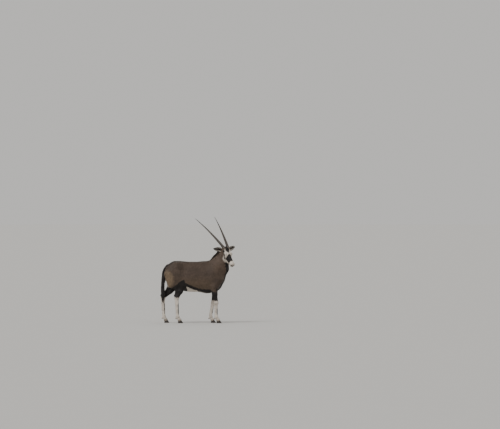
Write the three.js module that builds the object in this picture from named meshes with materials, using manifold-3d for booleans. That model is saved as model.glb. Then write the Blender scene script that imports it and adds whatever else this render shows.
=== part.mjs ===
// A gemsbok, the large oryx of southern Africa, standing at life size with its head turned to its right.
// Millimetres. +X is the way the body faces, +Y is its left, +Z is up. The origin is on the ground, at the
// middle of the whole animal's outline box. The flesh is one rounded form, made of blended balls and bones,
// and it is parted into named pieces by thin cuts.
import * as THREE from 'three';
import { mergeVertices } from 'three/addons/utils/BufferGeometryUtils.js';
import Module from 'manifold-3d';

const wasm = await Module();
wasm.setup();

// Driving sizes
const WITHERS = 1200; // ground to the top of the shoulder
const BACK = 1190; // ground to the middle of the back
const CHEST_FLOOR = 590; // ground to the lowest part of the chest
const BUTTOCK = -556; // x of the seat bone
const BRISKET = 585; // x of the front of the chest
const BARREL = 210; // half the width of the ribs
const STANCE = 106; // half the width between the feet
const HOOF_TOP = 58;
const HORN = 1040; // along its curve
const EAR = 190;
const TAIL_BONE = 450;
const TAIL_HAIR = 330; // length of the lowest hair
const GAP = 0.3; // what is kept between touching pieces

const V = (x, y, z) => new THREE.Vector3(x, y, z);
const rad = THREE.MathUtils.degToRad;
const mix = THREE.MathUtils.lerp;
const smoothstep = THREE.MathUtils.smoothstep;
const route = (...points) => new THREE.CatmullRomCurve3(points, false, 'centripetal');
const pair = (make) => [make(-1), make(1)];

// Forms: each is a function from a point to its distance from a surface, negative inside

// A ball stretched to three half sizes and tipped nose down by pitch degrees.
function oval(c, r, pitch = 0) {
  const cos = Math.cos(rad(pitch));
  const sin = Math.sin(rad(pitch));
  return (p) => {
    const dx = p.x - c.x;
    const dz = p.z - c.z;
    const x = dx * cos - dz * sin;
    const y = p.y - c.y;
    const z = dx * sin + dz * cos;
    const k0 = Math.hypot(x / r.x, y / r.y, z / r.z);
    const k1 = Math.hypot(x / (r.x * r.x), y / (r.y * r.y), z / (r.z * r.z));
    return k1 > 1e-9 ? (k0 * (k0 - 1)) / k1 : -Math.min(r.x, r.y, r.z);
  };
}

// The hull of two balls.
function bone(a, b, ra, rb) {
  const ba = b.clone().sub(a);
  const l2 = ba.lengthSq();
  const rr = ra - rb;
  const a2 = l2 - rr * rr;
  const il2 = 1 / l2;
  const pa = V(0, 0, 0);
  const across = V(0, 0, 0);
  return (p) => {
    pa.subVectors(p, a);
    const y = pa.dot(ba);
    const z = y - l2;
    const x2 = across.copy(pa).multiplyScalar(l2).addScaledVector(ba, -y).lengthSq();
    const y2 = y * y * l2;
    const z2 = z * z * l2;
    const k = Math.sign(rr) * rr * rr * x2;
    if (Math.sign(z) * a2 * z2 > k) return Math.sqrt(x2 + z2) * il2 - rb;
    if (Math.sign(y) * a2 * y2 < k) return Math.sqrt(x2 + y2) * il2 - ra;
    return (Math.sqrt(x2 * a2 * il2) + y * rr) * il2 - ra;
  };
}

// A row of bones through points that each have a radius.
function chain(...stops) {
  return stops.slice(1).map(([b, rb], i) => bone(stops[i][0], b, stops[i][1], rb));
}

// Two distances melted over a width of k.
function melt(a, b, k) {
  const h = Math.max(k - Math.abs(a - b), 0) / k;
  return Math.min(a, b) - (h * h * k) / 4;
}

function blend(k, ...forms) {
  return (p) => forms.reduce((d, form) => melt(d, form(p), k), 1e6);
}

const grown = (form, by) => (p) => form(p) - by;

// Solids

function solid(geometry) {
  const bare = geometry.index ? geometry.toNonIndexed() : geometry.clone();
  bare.deleteAttribute('normal');
  bare.deleteAttribute('uv');
  const merged = mergeVertices(bare, 1e-3);
  return new wasm.Manifold(
    new wasm.Mesh({
      numProp: 3,
      vertProperties: merged.attributes.position.array,
      triVerts: new Uint32Array(merged.index.array),
    }),
  );
}

// Only the largest closed surface of a solid is kept: a loose scrap or a sealed hollow is dropped.
function largest(body) {
  return body.decompose().reduce((a, b) => (b.volume() > a.volume() ? b : a));
}

function geometryOf(body) {
  const m = body.getMesh();
  const at = new Float32Array(m.numVert * 3);
  for (let i = 0; i < m.numVert; i++) {
    at.set(m.vertProperties.subarray(i * m.numProp, i * m.numProp + 3), i * 3);
  }
  return new THREE.BufferGeometry()
    .setAttribute('position', new THREE.BufferAttribute(at, 3))
    .setIndex(new THREE.BufferAttribute(m.triVerts, 1));
}

// A closed skin over rings of points, each ring with the same number of points, with flat ends.
function ringSkin(rings) {
  const sides = rings[0].length;
  const at = rings.flat().flatMap((p) => [p.x, p.y, p.z]);
  const faces = [];
  for (let i = 0; i + 1 < rings.length; i++) {
    for (let j = 0; j < sides; j++) {
      const a = i * sides + j;
      const b = i * sides + ((j + 1) % sides);
      faces.push(a, b, a + sides, b, b + sides, a + sides);
    }
  }
  for (const first of [0, (rings.length - 1) * sides]) {
    const c = rings[first / sides].reduce((s, p) => s.add(p), V(0, 0, 0)).divideScalar(sides);
    const hub = at.length / 3;
    at.push(c.x, c.y, c.z);
    for (let j = 0; j < sides; j++) {
      const a = first + j;
      const b = first + ((j + 1) % sides);
      faces.push(...(first ? [a, b, hub] : [b, a, hub]));
    }
  }
  const corner = (i) => V(at[3 * i], at[3 * i + 1], at[3 * i + 2]);
  let volume = 0;
  for (let i = 0; i < faces.length; i += 3) {
    volume += corner(faces[i]).dot(corner(faces[i + 1]).cross(corner(faces[i + 2])));
  }
  return new THREE.BufferGeometry()
    .setAttribute('position', new THREE.Float32BufferAttribute(at, 3))
    .setIndex(volume < 0 ? faces.reverse() : faces);
}

// The left and up of a ring that stands square to a path.
function square(path, t) {
  const along = path.getTangent(t);
  const left = V(0, 1, 0).addScaledVector(along, -along.y).normalize();
  return { c: path.getPoint(t), left, up: along.cross(left) };
}

function ringOf(frame, sides, place) {
  return Array.from({ length: sides }, (_, j) => {
    const turn = (2 * Math.PI * j) / sides;
    const { left, up } = frame;
    return place(left.clone().multiplyScalar(Math.sin(turn)).addScaledVector(up, Math.cos(turn)));
  });
}

// The point where a ray from inside a form leaves it, or the point at the reach.
function leaves(form, from, way, reach) {
  const step = 6;
  const halvings = 9;
  const p = V(0, 0, 0);
  const inside = (t) => form(p.copy(from).addScaledVector(way, t)) < 0;
  let far = 0;
  while (far < reach && inside(far)) far += step;
  if (far >= reach) return from.clone().addScaledVector(way, reach);
  let near = Math.max(0, far - step);
  for (let i = 0; i < halvings; i++) {
    const middle = (near + far) / 2;
    if (inside(middle)) near = middle;
    else far = middle;
  }
  return from.clone().addScaledVector(way, near);
}

// A form's surface as rings square to a path through it, at shares of the path.
function castSkin(form, path, shares, sides, reach = 600) {
  return ringSkin(
    shares.map((t) => {
      const frame = square(path, t);
      return ringOf(frame, sides, (way) => leaves(form, frame.c, way, reach));
    }),
  );
}

function tube(path, radius, stops, sides) {
  return ringSkin(
    stops.map((t, i) => {
      const frame = square(path, t);
      return ringOf(frame, sides, (way) => frame.c.clone().addScaledVector(way, radius(t, i)));
    }),
  );
}

const evenly = (n, from = 0, to = 1) => Array.from({ length: n + 1 }, (_, i) => mix(from, to, i / n));

// Shares that crowd together before the end of a path, where the form closes to a round tip.
function rounded(from, to, n) {
  const step = (to - from) / n;
  return [...evenly(n - 1, from, to - step), to - 0.45 * step, to - 0.15 * step, to - 0.03 * step, to];
}

// Head, in its own frame: x to the nose, y to its left, z out of the forehead, from between the horns

const HEAD_AT = V(664, -108, 1438);
const HEAD_YAW = -61; // the head is turned to the right of the body
const HEAD_PITCH = 47; // the nose is below level
const HEAD_LEAN = 5; // the crown leans towards the tail

const headPlace = new THREE.Matrix4()
  .makeTranslation(HEAD_AT)
  .multiply(new THREE.Matrix4().makeRotationY(rad(-HEAD_LEAN)))
  .multiply(new THREE.Matrix4().makeRotationZ(rad(HEAD_YAW)))
  .multiply(new THREE.Matrix4().makeRotationY(rad(HEAD_PITCH)));
const intoHead = headPlace.clone().invert();
const fromHead = (x, y, z) => V(x, y, z).applyMatrix4(headPlace);

const EYE_RADIUS = 20;
const LID = 4.5; // how far the lids stand over the ball
const eyeAt = (side) => V(82, side * 62.5, -45);
const earRoot = (side) => V(-38, side * 60, -40);

const skull = blend(
  24,
  oval(V(-14, 0, -62), V(78, 60, 66)), // braincase
  oval(V(40, 0, -52), V(92, 72, 54)), // forehead
  ...pair((s) => oval(V(76, s * 56, -36), V(40, 24, 26))), // brow
  ...pair((s) => oval(V(92, s * 58, -62), V(40, 20, 18))), // cheek bone
  bone(V(60, 0, -42), V(322, 0, -68), 44, 32), // nose bridge
  bone(V(110, 0, -92), V(322, 0, -86), 55, 37), // upper jaw
  oval(V(332, 0, -82), V(32, 35, 33)), // muzzle
  ...pair((s) => oval(V(338, s * 20, -68), V(27, 16, 21))), // wings of the nostrils
  ...pair((s) => bone(V(60, s * 42, -146), V(210, s * 20, -134), 28, 22)), // lower jaw
  bone(V(205, 0, -134), V(318, 0, -120), 27, 21),
  oval(V(326, 0, -114), V(26, 27, 21)), // chin
  ...pair((s) => oval(V(84, s * 46, -104), V(72, 27, 60))), // cheek
  ...pair((s) => oval(V(36, s * 42, -136), V(38, 24, 44))), // angle of the jaw
  oval(V(-6, 0, -112), V(62, 50, 60)), // throat
  ...pair((s) => oval(V(-36, s * 52, -40), V(28, 22, 28))), // root of the ear
  ...pair((s) => bone(V(6, s * 33, -24), V(-8, s * 36, 0), 34, 31)), // root of the horn
);
const HEAD_AXIS = route(
  V(-80, 0, -70),
  V(0, 0, -80),
  V(90, 0, -86),
  V(200, 0, -90),
  V(310, 0, -90),
  leaves(skull, V(310, 0, -90), V(1, 0, 0), 120).add(V(-0.5, 0, 0)),
);

function headSkin(by) {
  return castSkin(grown(skull, by), HEAD_AXIS, rounded(0, 1, 26), 24, 240);
}

function ball(at, radius, wide = 12, high = 8) {
  return new THREE.SphereGeometry(radius, wide, high).translate(at.x, at.y, at.z);
}

function pebble(at, x, y, z, pitch = 0) {
  return new THREE.SphereGeometry(1, 10, 6).scale(x, y, z).rotateY(rad(pitch)).translate(at.x, at.y, at.z);
}

// A thin cut from one corner of the mouth round the muzzle to the other.
function mouthCut() {
  const LIP = 2.2;
  const outline = new THREE.Shape();
  outline.moveTo(268, -60);
  outline.lineTo(420, -60);
  outline.lineTo(420, 60);
  outline.lineTo(268, 60);
  outline.lineTo(262, 40);
  outline.quadraticCurveTo(300, 26, 336, 22);
  outline.quadraticCurveTo(342, 0, 336, -22);
  outline.quadraticCurveTo(300, -26, 262, -40);
  outline.closePath();
  const g = new THREE.ExtrudeGeometry(outline, { depth: LIP, bevelEnabled: false, curveSegments: 4 });
  return g.rotateY(rad(-3)).translate(0, 0, -104 - 17);
}

function nostrilCut(side) {
  return pebble(V(358, side * 27, -64), 16, 7, 10, 30);
}

// The almond opening between the lids.
function lidCut(side) {
  const at = eyeAt(side);
  return pebble(V(at.x, at.y + side * 19, at.z - 1), 18.5, 15, 10.5, 14);
}

// The ear is a cupped leaf: each section across it is a crescent that opens forwards.
function ear(side) {
  const out = V(-0.26, side * 0.94, 0.02).normalize();
  const open = V(0.72, side * 0.2, 0.6);
  open.addScaledVector(out, -open.dot(out)).normalize();
  const across = out.clone().cross(open);
  const bends = 5;
  const rim = 0.93; // the inner face is a little narrower than the outer
  const rings = evenly(8).map((t) => {
    const wide = 3 + 41 * Math.pow(Math.sin(Math.PI * mix(0.14, 0.985, t)), 0.8);
    const deep = mix(28, 12, t) * smoothstep(t, -0.6, 0.25);
    const thick = mix(7, 3.5, t);
    const hollow = smoothstep(t, 0.04, 0.3);
    const c = earRoot(side).addScaledVector(out, mix(-14, EAR, t)).addScaledVector(open, -16 * t * t);
    const bent = (a, lift, share) =>
      c.clone().addScaledVector(across, wide * a * share).addScaledVector(open, lift * (1 - a * a));
    const outer = evenly(bends, -1, 1).map((a) => bent(a, -deep, 1).addScaledVector(open, -thick / 2));
    const inner = evenly(bends, 1, -1).map((a) => {
      return bent(a, mix(0.6 * deep, -deep, hollow), rim).addScaledVector(open, thick / 2);
    });
    return [...outer, ...inner];
  });
  return ringSkin(rings);
}

const HORN_BASE = 29; // radius at the skull
const HORN_TIP = 3.5;
const HORN_RINGS = 15;
const RINGED = 0.58; // share of the horn that carries rings
const RING_HEIGHT = 2.6;
const HORN_RISE = -1; // degrees by which the horn starts out of the line of the face
const HORN_BEND = -13; // degrees by which it then curves back
const HORN_SPLAY = 10;

function hornPath(side) {
  const steps = 20;
  const p = V(-10, side * 37, 4);
  const points = evenly(steps).map((t) => {
    const here = p.clone();
    const rise = rad(HORN_RISE + HORN_BEND * t);
    const splay = rad(HORN_SPLAY);
    const flat = V(-Math.cos(splay), 0, Math.cos(splay));
    const way = V(flat.x * Math.cos(rise), side * Math.sin(splay), flat.z * Math.sin(rise));
    p.addScaledVector(way, HORN / steps);
    return here;
  });
  return route(...points);
}

function horn(side, by = 0) {
  const stops = [0];
  for (let i = 0; i < HORN_RINGS; i++) {
    stops.push(((i + 0.3) / HORN_RINGS) * RINGED, ((i + 0.75) / HORN_RINGS) * RINGED);
  }
  stops.push(...evenly(5, RINGED + 0.06, 1));
  const radius = (t, i) => {
    const ringed = i > 0 && i <= 2 * HORN_RINGS && i % 2 === 0;
    return mix(HORN_BASE, HORN_TIP, Math.pow(t, 0.92)) + (ringed ? RING_HEIGHT * (1 - t) : 0) + by;
  };
  return tube(hornPath(side), radius, stops, 8);
}

// Trunk and neck

const STIFLE = -262; // x of the hind leg's knee
const STEP = {
  fore: (side) => (side < 0 ? 30 : -85), // how far each foot is put forward
  hind: (side) => (side < 0 ? 165 : -110),
};

const CREST = [
  [V(330, 0, 1085), 112],
  [V(470, -2, 1215), 84],
  [V(560, -14, 1325), 68],
  [fromHead(-48, 0, -52), 58],
];

const flesh = blend(
  70,
  oval(V(10, 0, 890), V(500, BARREL, 284)), // ribs and belly
  oval(V(285, 0, (WITHERS + CHEST_FLOOR) / 2 - 12), V(265, 178, (WITHERS - CHEST_FLOOR) / 2)), // chest
  oval(V(-290, 0, 985), V(235, 180, 216)), // rump
  oval(V(-395, 0, 1015), V(150, 132, 155)), // croup's fall to the tail
  bone(V(-340, 0, BACK - 84), V(190, 0, BACK - 90), 96, 96), // loin and back
  bone(V(150, 0, WITHERS - 92), V(370, 0, WITHERS - 78), 66, 72), // withers
  oval(V(BRISKET - 128, 0, 800), V(125, 118, 165)), // brisket
  ...pair((s) => oval(V(395, s * 105, 930), V(120, 84, 235), 20)), // shoulder blade
  ...pair((s) => bone(V(BRISKET - 75, s * 105, 850), V(430, s * 112, 722), 78, 68)), // upper arm
  ...pair((s) => oval(V(-345, s * 98, 885), V(165, 84, 220), -12)), // thigh
  ...pair((s) => bone(V(-350, s * 98, 900), V(STIFLE + 0.45 * STEP.hind(s), s * 108, 778), 78, 62)), // to the knee
  ...pair((s) => bone(V(BUTTOCK + 66, s * 72, 960), V(-425, s * 100, 760), 62, 62)), // ham
  ...pair((s) => oval(V(-300, s * 100, 1120), V(75, 55, 58))), // hip bone
  ...chain(...CREST),
  ...chain([V(430, 0, 960), 165], [V(540, -8, 1120), 118], [V(600, -22, 1250), 92], [fromHead(-20, 0, -92), 78]),
  ...chain([V(520, 0, 880), 108], [V(612, -16, 1060), 76], [fromHead(20, 0, -150), 58]), // windpipe's side
);

const crown = leaves(flesh, fromHead(-38, 0, -52), fromHead(-38, 0, 0).sub(fromHead(-38, 0, -1)), 100);
const SPINE = route(
  leaves(flesh, V(BUTTOCK + 200, 0, 985), V(-1, 0, 0), 400).add(V(1, 0, 0)),
  V(BUTTOCK + 40, 0, 983),
  V(-400, 0, 970),
  V(-200, 0, 900),
  V(50, 0, 868),
  V(260, 0, 880),
  V(400, 0, 940),
  V(500, -4, 1060),
  V(565, -14, 1175),
  V(600, -22, 1290),
  fromHead(-32, 0, -112),
  fromHead(-38, 0, -52),
  crown.clone().add(fromHead(-38, 0, -52)).divideScalar(2),
  crown,
);
const NECK_FROM = 0.605; // share of the spine where the neck begins
const TRUNK_SIDES = 26;

function torsoSkin(by) {
  const shares = rounded(NECK_FROM, 0, 27).reverse();
  return solid(castSkin(grown(flesh, by), SPINE, shares, TRUNK_SIDES));
}

// The neck's skin runs on over the back of the skull and sinks into it towards the face.
function neckField(p) {
  const q = p.clone().applyMatrix4(intoHead);
  const onHead = smoothstep(q.x, -30, 50);
  const sinking = 0.8 * Math.max(0, q.x + 10);
  return melt(flesh(p), skull(q) + sinking, mix(50, 2, onHead)) + 6 * onHead;
}

function neckSkin(by) {
  const shares = rounded(NECK_FROM + GAP / SPINE.getLength(), 0.999, 14);
  return solid(castSkin(grown(neckField, by), SPINE, shares, TRUNK_SIDES, 420));
}

// Legs

// Halfway between two joints, moved forwards by some millimetres.
function mid(a, b, forward) {
  return a.clone().add(b).divideScalar(2).add(V(forward, 0, 0));
}

function foot(fetlock, coronet) {
  return [
    oval(fetlock, V(30, 28, 33)),
    bone(fetlock, coronet, 23, 29),
    bone(coronet, coronet.clone().setZ(HOOF_TOP - 22), 30, 33),
    ...pair((s) => oval(V(fetlock.x - 30, fetlock.y + s * 15, fetlock.z - 26), V(14, 11, 16))), // dew claws
  ];
}

// The strong cord behind a leg's lower bone.
function cord(joint, fetlock, back) {
  return bone(V(joint.x - back, joint.y, joint.z - 20), V(fetlock.x - 20, fetlock.y, fetlock.z + 30), 16, 13);
}

function foreleg(side) {
  const step = STEP.fore(side);
  const elbow = V(425, side * 108, 715);
  const knee = V(440 + 0.55 * step, side * 110, 398);
  const fetlock = V(430 + step, side * STANCE, 122);
  const coronet = V(462 + step, side * STANCE, 62);
  const form = blend(
    22,
    ...chain([V(430, side * 104, 830), 64], [elbow, 61], [V(432, side * 110, 560), 44], [knee, 34]),
    ...chain([V(396, side * 108, 740), 46], [V(406, side * 110, 600), 34], [knee, 28]), // forearm's back
    oval(knee, V(37, 34, 50)),
    bone(knee, fetlock, 27, 22),
    cord(knee, fetlock, 22),
    ...foot(fetlock, coronet),
  );
  const path = route(
    V(428, side * 104, 830),
    elbow,
    V(426, side * 110, 560),
    knee,
    mid(knee, fetlock, -6),
    fetlock,
    coronet,
    coronet.clone().setZ(HOOF_TOP - 26),
  );
  return { form, path, coronet, side, reach: 88, root: 0.2, sinks: [735, 825] };
}

function hindleg(side) {
  const step = STEP.hind(side);
  const stifle = V(STIFLE + 0.45 * step, side * 112, 745);
  const hock = V(-478 + step, side * 108, 500);
  const fetlock = V(-463 + step, side * STANCE, 126);
  const coronet = V(-429 + step, side * STANCE, 62);
  const ham = V(stifle.x - 130, side * 106, 760);
  const heel = V(hock.x - 36, hock.y, hock.z + 42);
  const form = blend(
    22,
    bone(V(BUTTOCK + 205, side * 92, 930), stifle, 78, 62),
    bone(V(BUTTOCK + 80, side * 78, 900), ham, 54, 56),
    ...chain([stifle, 62], [mid(stifle, hock, 0), 48], [hock, 32]),
    ...chain([ham, 56], [mid(ham, hock, 6), 35], [heel, 16]), // calf
    oval(hock, V(40, 33, 50)),
    bone(hock, heel, 26, 18),
    bone(hock, fetlock, 30, 23),
    cord(hock, fetlock, 27),
    ...foot(fetlock, coronet),
  );
  const path = route(
    V(-340 + 0.2 * step, side * 100, 860),
    V(-315 + 0.4 * step, side * 108, 770),
    mid(V(-310 + 0.5 * step, side * 110, 700), hock, 0),
    V(hock.x - 6, hock.y, hock.z + 10),
    mid(hock, fetlock, -8),
    fetlock,
    coronet,
    coronet.clone().setZ(HOOF_TOP - 26),
  );
  return { form, path, coronet, side, reach: 140, root: 0.17, sinks: [765, 870] };
}

const LOWER_LEG_REACH = 80; // no part of a lower leg is further than this from its path
const legs = {
  foreleg_right: foreleg(-1),
  foreleg_left: foreleg(1),
  hindleg_right: hindleg(-1),
  hindleg_left: hindleg(1),
};

// A leg's skin flares into the trunk's and sinks under it higher up.
function hipField(leg) {
  return (p) => {
    const sunk = smoothstep(p.z, ...leg.sinks);
    return melt(flesh(p), leg.form(p), mix(42, 2, sunk)) + 12 * sunk;
  };
}

// All that lies below the top of a hoof.
function belowHoofTop(coronet) {
  const size = 200;
  const box = new THREE.BoxGeometry(size, size, size);
  return solid(box.translate(coronet.x, coronet.y, HOOF_TOP + GAP - size / 2));
}

// One claw of a hoof: an outline with a straight inner edge, at heights from the ground to the coronet.
function claw(coronet, side) {
  const turns = 7;
  const rings = [0, 7, 30, HOOF_TOP].map((z) => {
    const up = z / HOOF_TOP;
    const long = mix(52, 33, up);
    const wide = mix(40, 29, up) * (z ? 1 : 0.94);
    return evenly(turns).map((t) => {
      const a = Math.PI * t;
      const toe = Math.cos(a) > 0 ? 1.15 : 0.85;
      const x = coronet.x + mix(16, 0, up) + long * Math.cos(a) * toe;
      return V(x, coronet.y + side * (2.5 + wide * Math.pow(Math.sin(a), 0.7)), z);
    });
  });
  return ringSkin(rings);
}

// Hair

// Seeded draws between -1 and 1.
function draws(seed) {
  let state = seed;
  return () => {
    state = (state * 1664525 + 1013904223) % 4294967296;
    return (state / 4294967296) * 2 - 1;
  };
}

// A flat lock of hair that tapers to its tip along a route, with its broad side facing the way flat.
function lock(points, flat, wide, thick, stations = 4) {
  const path = route(...points);
  const rings = evenly(stations).map((t) => {
    const c = path.getPoint(t);
    const along = path.getTangent(t);
    const out = flat.clone().addScaledVector(along, -along.dot(flat)).normalize();
    const across = along.clone().cross(out);
    const swell = t < 0.35 ? mix(0.75, 1, t / 0.35) : mix(1, 0.12, Math.pow((t - 0.35) / 0.65, 1.3));
    const w = (wide * swell) / 2;
    const h = (thick * mix(1, 0.25, t)) / 2;
    const corners = [across.clone().multiplyScalar(w), out.clone().multiplyScalar(h)];
    return [...corners, ...corners.map((v) => v.clone().negate())].map((v) => v.add(c));
  });
  return ringSkin(rings);
}

const GOLDEN_TURN = 2.4; // radians between one lock and the next, so that none stands over another
const DOCK = route(
  V(BUTTOCK + 110, 0, 1130),
  V(BUTTOCK + 44, -2, 1112),
  V(BUTTOCK - 22, -8, 1005),
  V(BUTTOCK - 38, -12, 840),
  V(BUTTOCK - 34, -12, 1130 - TAIL_BONE),
);

function tail() {
  const draw = draws(7);
  const count = 20;
  const pieces = [solid(tube(DOCK, (t) => mix(29, 13, t), evenly(7), 8))];
  for (let i = 0; i < count; i++) {
    const down = i / (count - 1);
    const c = DOCK.getPoint(mix(0.34, 0.97, down));
    const turn = GOLDEN_TURN * i;
    const out = V(Math.cos(turn), Math.sin(turn), 0);
    const long = mix(250, TAIL_HAIR, down) * (1 + 0.1 * draw());
    const puff = mix(24, 34, down) * (1 + 0.15 * draw());
    const points = [
      c.clone().addScaledVector(out, 4),
      c.clone().addScaledVector(out, puff).add(V(0, 0, -0.25 * long)),
      c.clone().addScaledVector(out, puff * 0.95).add(V(0, 0, -0.62 * long)),
      c.clone().addScaledVector(out, 15 + 8 * draw()).add(V(6 * draw(), 6 * draw(), -long)),
    ];
    pieces.push(solid(lock(points, out, 42, 13, 3)));
  }
  return wasm.Manifold.union(pieces);
}

// Short upright locks along the crest of the neck, each lapping the next.
function mane() {
  const draw = draws(3);
  const count = 17;
  const crest = route(...CREST.map(([c]) => c));
  return evenly(count, 0.3, 0.96).map((t) => {
    const { c, left, up } = square(crest, t);
    const along = crest.getTangent(t);
    const out = up.dot(V(-1, 0, 1)) > 0 ? up : up.negate();
    const root = leaves(neckField, c, out, 200).addScaledVector(out, -9);
    const long = mix(46, 60, Math.sin(Math.PI * t)) * (1 + 0.12 * draw());
    const tip = root.clone().addScaledVector(out, long).addScaledVector(along, -0.42 * long);
    const middle = root.clone().addScaledVector(out, 0.6 * long).addScaledVector(along, -0.1 * long);
    return solid(lock([root, middle, tip.addScaledVector(left, 5 * draw())], left, 46, 12, 3));
  });
}

// Assembly

const animal = new THREE.Group();

const COATS = {
  coat: new THREE.MeshStandardMaterial({ color: 0x6b5a4e, roughness: 0.85 }),
  black: new THREE.MeshStandardMaterial({ color: 0x1c1614, roughness: 0.8 }),
  horn: new THREE.MeshStandardMaterial({ color: 0x2b2521, roughness: 0.55 }),
  eye: new THREE.MeshStandardMaterial({ color: 0x120c09, roughness: 0.1 }),
};

function add(name, body, coat) {
  const mesh = new THREE.Mesh(geometryOf(largest(body)), COATS[coat].clone());
  mesh.name = name;
  animal.add(mesh);
}

const SIDES = { right: -1, left: 1 };
const inHead = (geometry) => solid(geometry.applyMatrix4(headPlace));

let head = inHead(headSkin(0)).subtract(inHead(mouthCut()));
for (const side of Object.values(SIDES)) {
  head = head.add(inHead(ball(eyeAt(side), EYE_RADIUS + LID)));
  head = head.subtract(inHead(lidCut(side))).subtract(inHead(ball(eyeAt(side), EYE_RADIUS + GAP)));
  head = head.subtract(inHead(nostrilCut(side)));
}
add('head', head, 'coat');

const skullCutter = inHead(headSkin(GAP));
const headCutter = skullCutter.add(neckSkin(2 * GAP));
let neck = wasm.Manifold.union([neckSkin(0), ...mane()]).subtract(skullCutter);
for (const [word, side] of Object.entries(SIDES)) {
  add(`eye_${word}`, inHead(ball(eyeAt(side), EYE_RADIUS)), 'eye');
  add(`horn_${word}`, inHead(horn(side)).subtract(skullCutter), 'horn');
  neck = neck.subtract(inHead(horn(side, GAP)));
  add(`ear_${word}`, inHead(ear(side)).subtract(headCutter), 'coat');
}

// A leg's root is part of the torso, so the torso ends at a ring round the top of each leg.
let torso = torsoSkin(0);
const torsoCutter = torsoSkin(GAP);
let tailCutter = torsoSkin(3 * GAP).add(torsoSkin(3 * GAP).translate(-3 * GAP, 0, 0));
for (const [name, leg] of Object.entries(legs)) {
  const split = 0.52;
  const gap = GAP / leg.path.getLength();
  const piece = (form, shares, reach) => solid(castSkin(form, leg.path, shares, 14, reach));
  const root = (by) => piece(grown(hipField(leg), by), evenly(4, 0, leg.root), leg.reach);
  torso = torso.add(root(0));
  tailCutter = tailCutter.add(root(3 * GAP));
  const upper = piece(hipField(leg), evenly(7, leg.root + gap, split), leg.reach);
  add(`${name}_upper`, upper.subtract(torsoCutter), 'coat');
  const lower = piece(leg.form, evenly(11, split + gap), LOWER_LEG_REACH);
  add(`${name}_lower`, lower.subtract(belowHoofTop(leg.coronet)), 'coat');
  for (const side of Object.values(SIDES)) {
    const word = side === leg.side ? 'outer' : 'inner';
    add(`${name}_claw_${word}`, solid(claw(leg.coronet, side)), 'black');
  }
}
add('torso', torso.subtract(skullCutter), 'coat');
add('neck', neck.subtract(torsoCutter), 'coat');
add('tail', tail().subtract(tailCutter), 'black');

// The origin moves to the middle of the outline box, on the ground.
const middle = new THREE.Box3().setFromObject(animal).getCenter(V(0, 0, 0));
animal.position.set(-middle.x, -middle.y, 0);
const standing = new THREE.Group();
standing.add(animal);

export default standing;
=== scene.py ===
"""A gemsbok as a museum would show it: life size, standing still, with its head turned to its right."""
from concurrent.futures import ThreadPoolExecutor
from math import cos, pi, radians, sin

import bmesh
import bpy
import numpy as np
from mathutils import Matrix, Vector


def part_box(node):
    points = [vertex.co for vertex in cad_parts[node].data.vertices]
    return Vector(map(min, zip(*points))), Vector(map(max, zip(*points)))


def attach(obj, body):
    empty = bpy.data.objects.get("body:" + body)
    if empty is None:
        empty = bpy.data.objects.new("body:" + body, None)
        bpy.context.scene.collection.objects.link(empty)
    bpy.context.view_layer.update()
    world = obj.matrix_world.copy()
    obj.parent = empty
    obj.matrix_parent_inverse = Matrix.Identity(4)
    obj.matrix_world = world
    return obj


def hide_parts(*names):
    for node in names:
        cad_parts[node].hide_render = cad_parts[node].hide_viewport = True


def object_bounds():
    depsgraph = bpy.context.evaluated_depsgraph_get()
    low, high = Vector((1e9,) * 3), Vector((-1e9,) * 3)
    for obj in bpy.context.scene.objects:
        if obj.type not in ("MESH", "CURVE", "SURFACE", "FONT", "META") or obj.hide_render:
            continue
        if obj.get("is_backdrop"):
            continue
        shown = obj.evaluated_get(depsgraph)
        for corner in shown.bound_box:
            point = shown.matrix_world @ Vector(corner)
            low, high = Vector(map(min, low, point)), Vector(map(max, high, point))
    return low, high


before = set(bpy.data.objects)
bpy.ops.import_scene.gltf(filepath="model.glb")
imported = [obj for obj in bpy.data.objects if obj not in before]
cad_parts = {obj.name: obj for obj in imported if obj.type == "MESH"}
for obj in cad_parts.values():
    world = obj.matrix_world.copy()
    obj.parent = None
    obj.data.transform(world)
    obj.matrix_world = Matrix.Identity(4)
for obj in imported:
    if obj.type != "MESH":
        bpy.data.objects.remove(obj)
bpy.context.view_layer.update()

# Camera
# The photograph was taken from far away, level with the animal's head, so a long lens stands sixty metres off.
# The animal fills only a small part of the picture, left of the middle and below it.
PICTURE = (500, 429)
PIXELS_PER_METRE = 51.0
CHEST_PIXEL = (215.0, 323.0)  # where the ground under the elbow falls in the photograph
CAMERA_DISTANCE = 60.0
CAMERA_HEIGHT = 2.1
FAR_ENOUGH = 2000.0  # metres, past the floor's far edge

# The body is modelled in its own millimetres from a point under the middle of the ribs. Its place in the frame is
# found from the claws of the right forefoot.
MM = 0.001
ELBOW = 0.430  # how far forward of that point the elbow stands
STANCE = 0.106  # half the width between the feet
TOE = 0.5678  # how far forward the right fore toe reaches
claws = [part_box(f"foreleg_right_claw_{word}") for word in ("outer", "inner")]
shift = np.array([claws[0][1].x - TOE, (claws[0][0].y + claws[1][1].y) / 2 + STANCE, 0.0])

camera_data = bpy.data.cameras.new("camera")
camera = bpy.data.objects.new("camera", camera_data)
bpy.context.collection.objects.link(camera)
bpy.context.scene.camera = camera
camera_data.sensor_width = 36.0
camera_data.lens = camera_data.sensor_width * CAMERA_DISTANCE * PIXELS_PER_METRE / PICTURE[0]
camera_data.clip_end = FAR_ENOUGH
middle_x = ELBOW + shift[0] + (PICTURE[0] / 2 - CHEST_PIXEL[0]) / PIXELS_PER_METRE
middle_z = (CHEST_PIXEL[1] - PICTURE[1] / 2) / PIXELS_PER_METRE
camera.location = (middle_x, shift[1] - CAMERA_DISTANCE, CAMERA_HEIGHT)
aim = Vector((middle_x, shift[1], middle_z)) - camera.location
camera.rotation_euler = aim.to_track_quat("-Z", "Y").to_euler()

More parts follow.
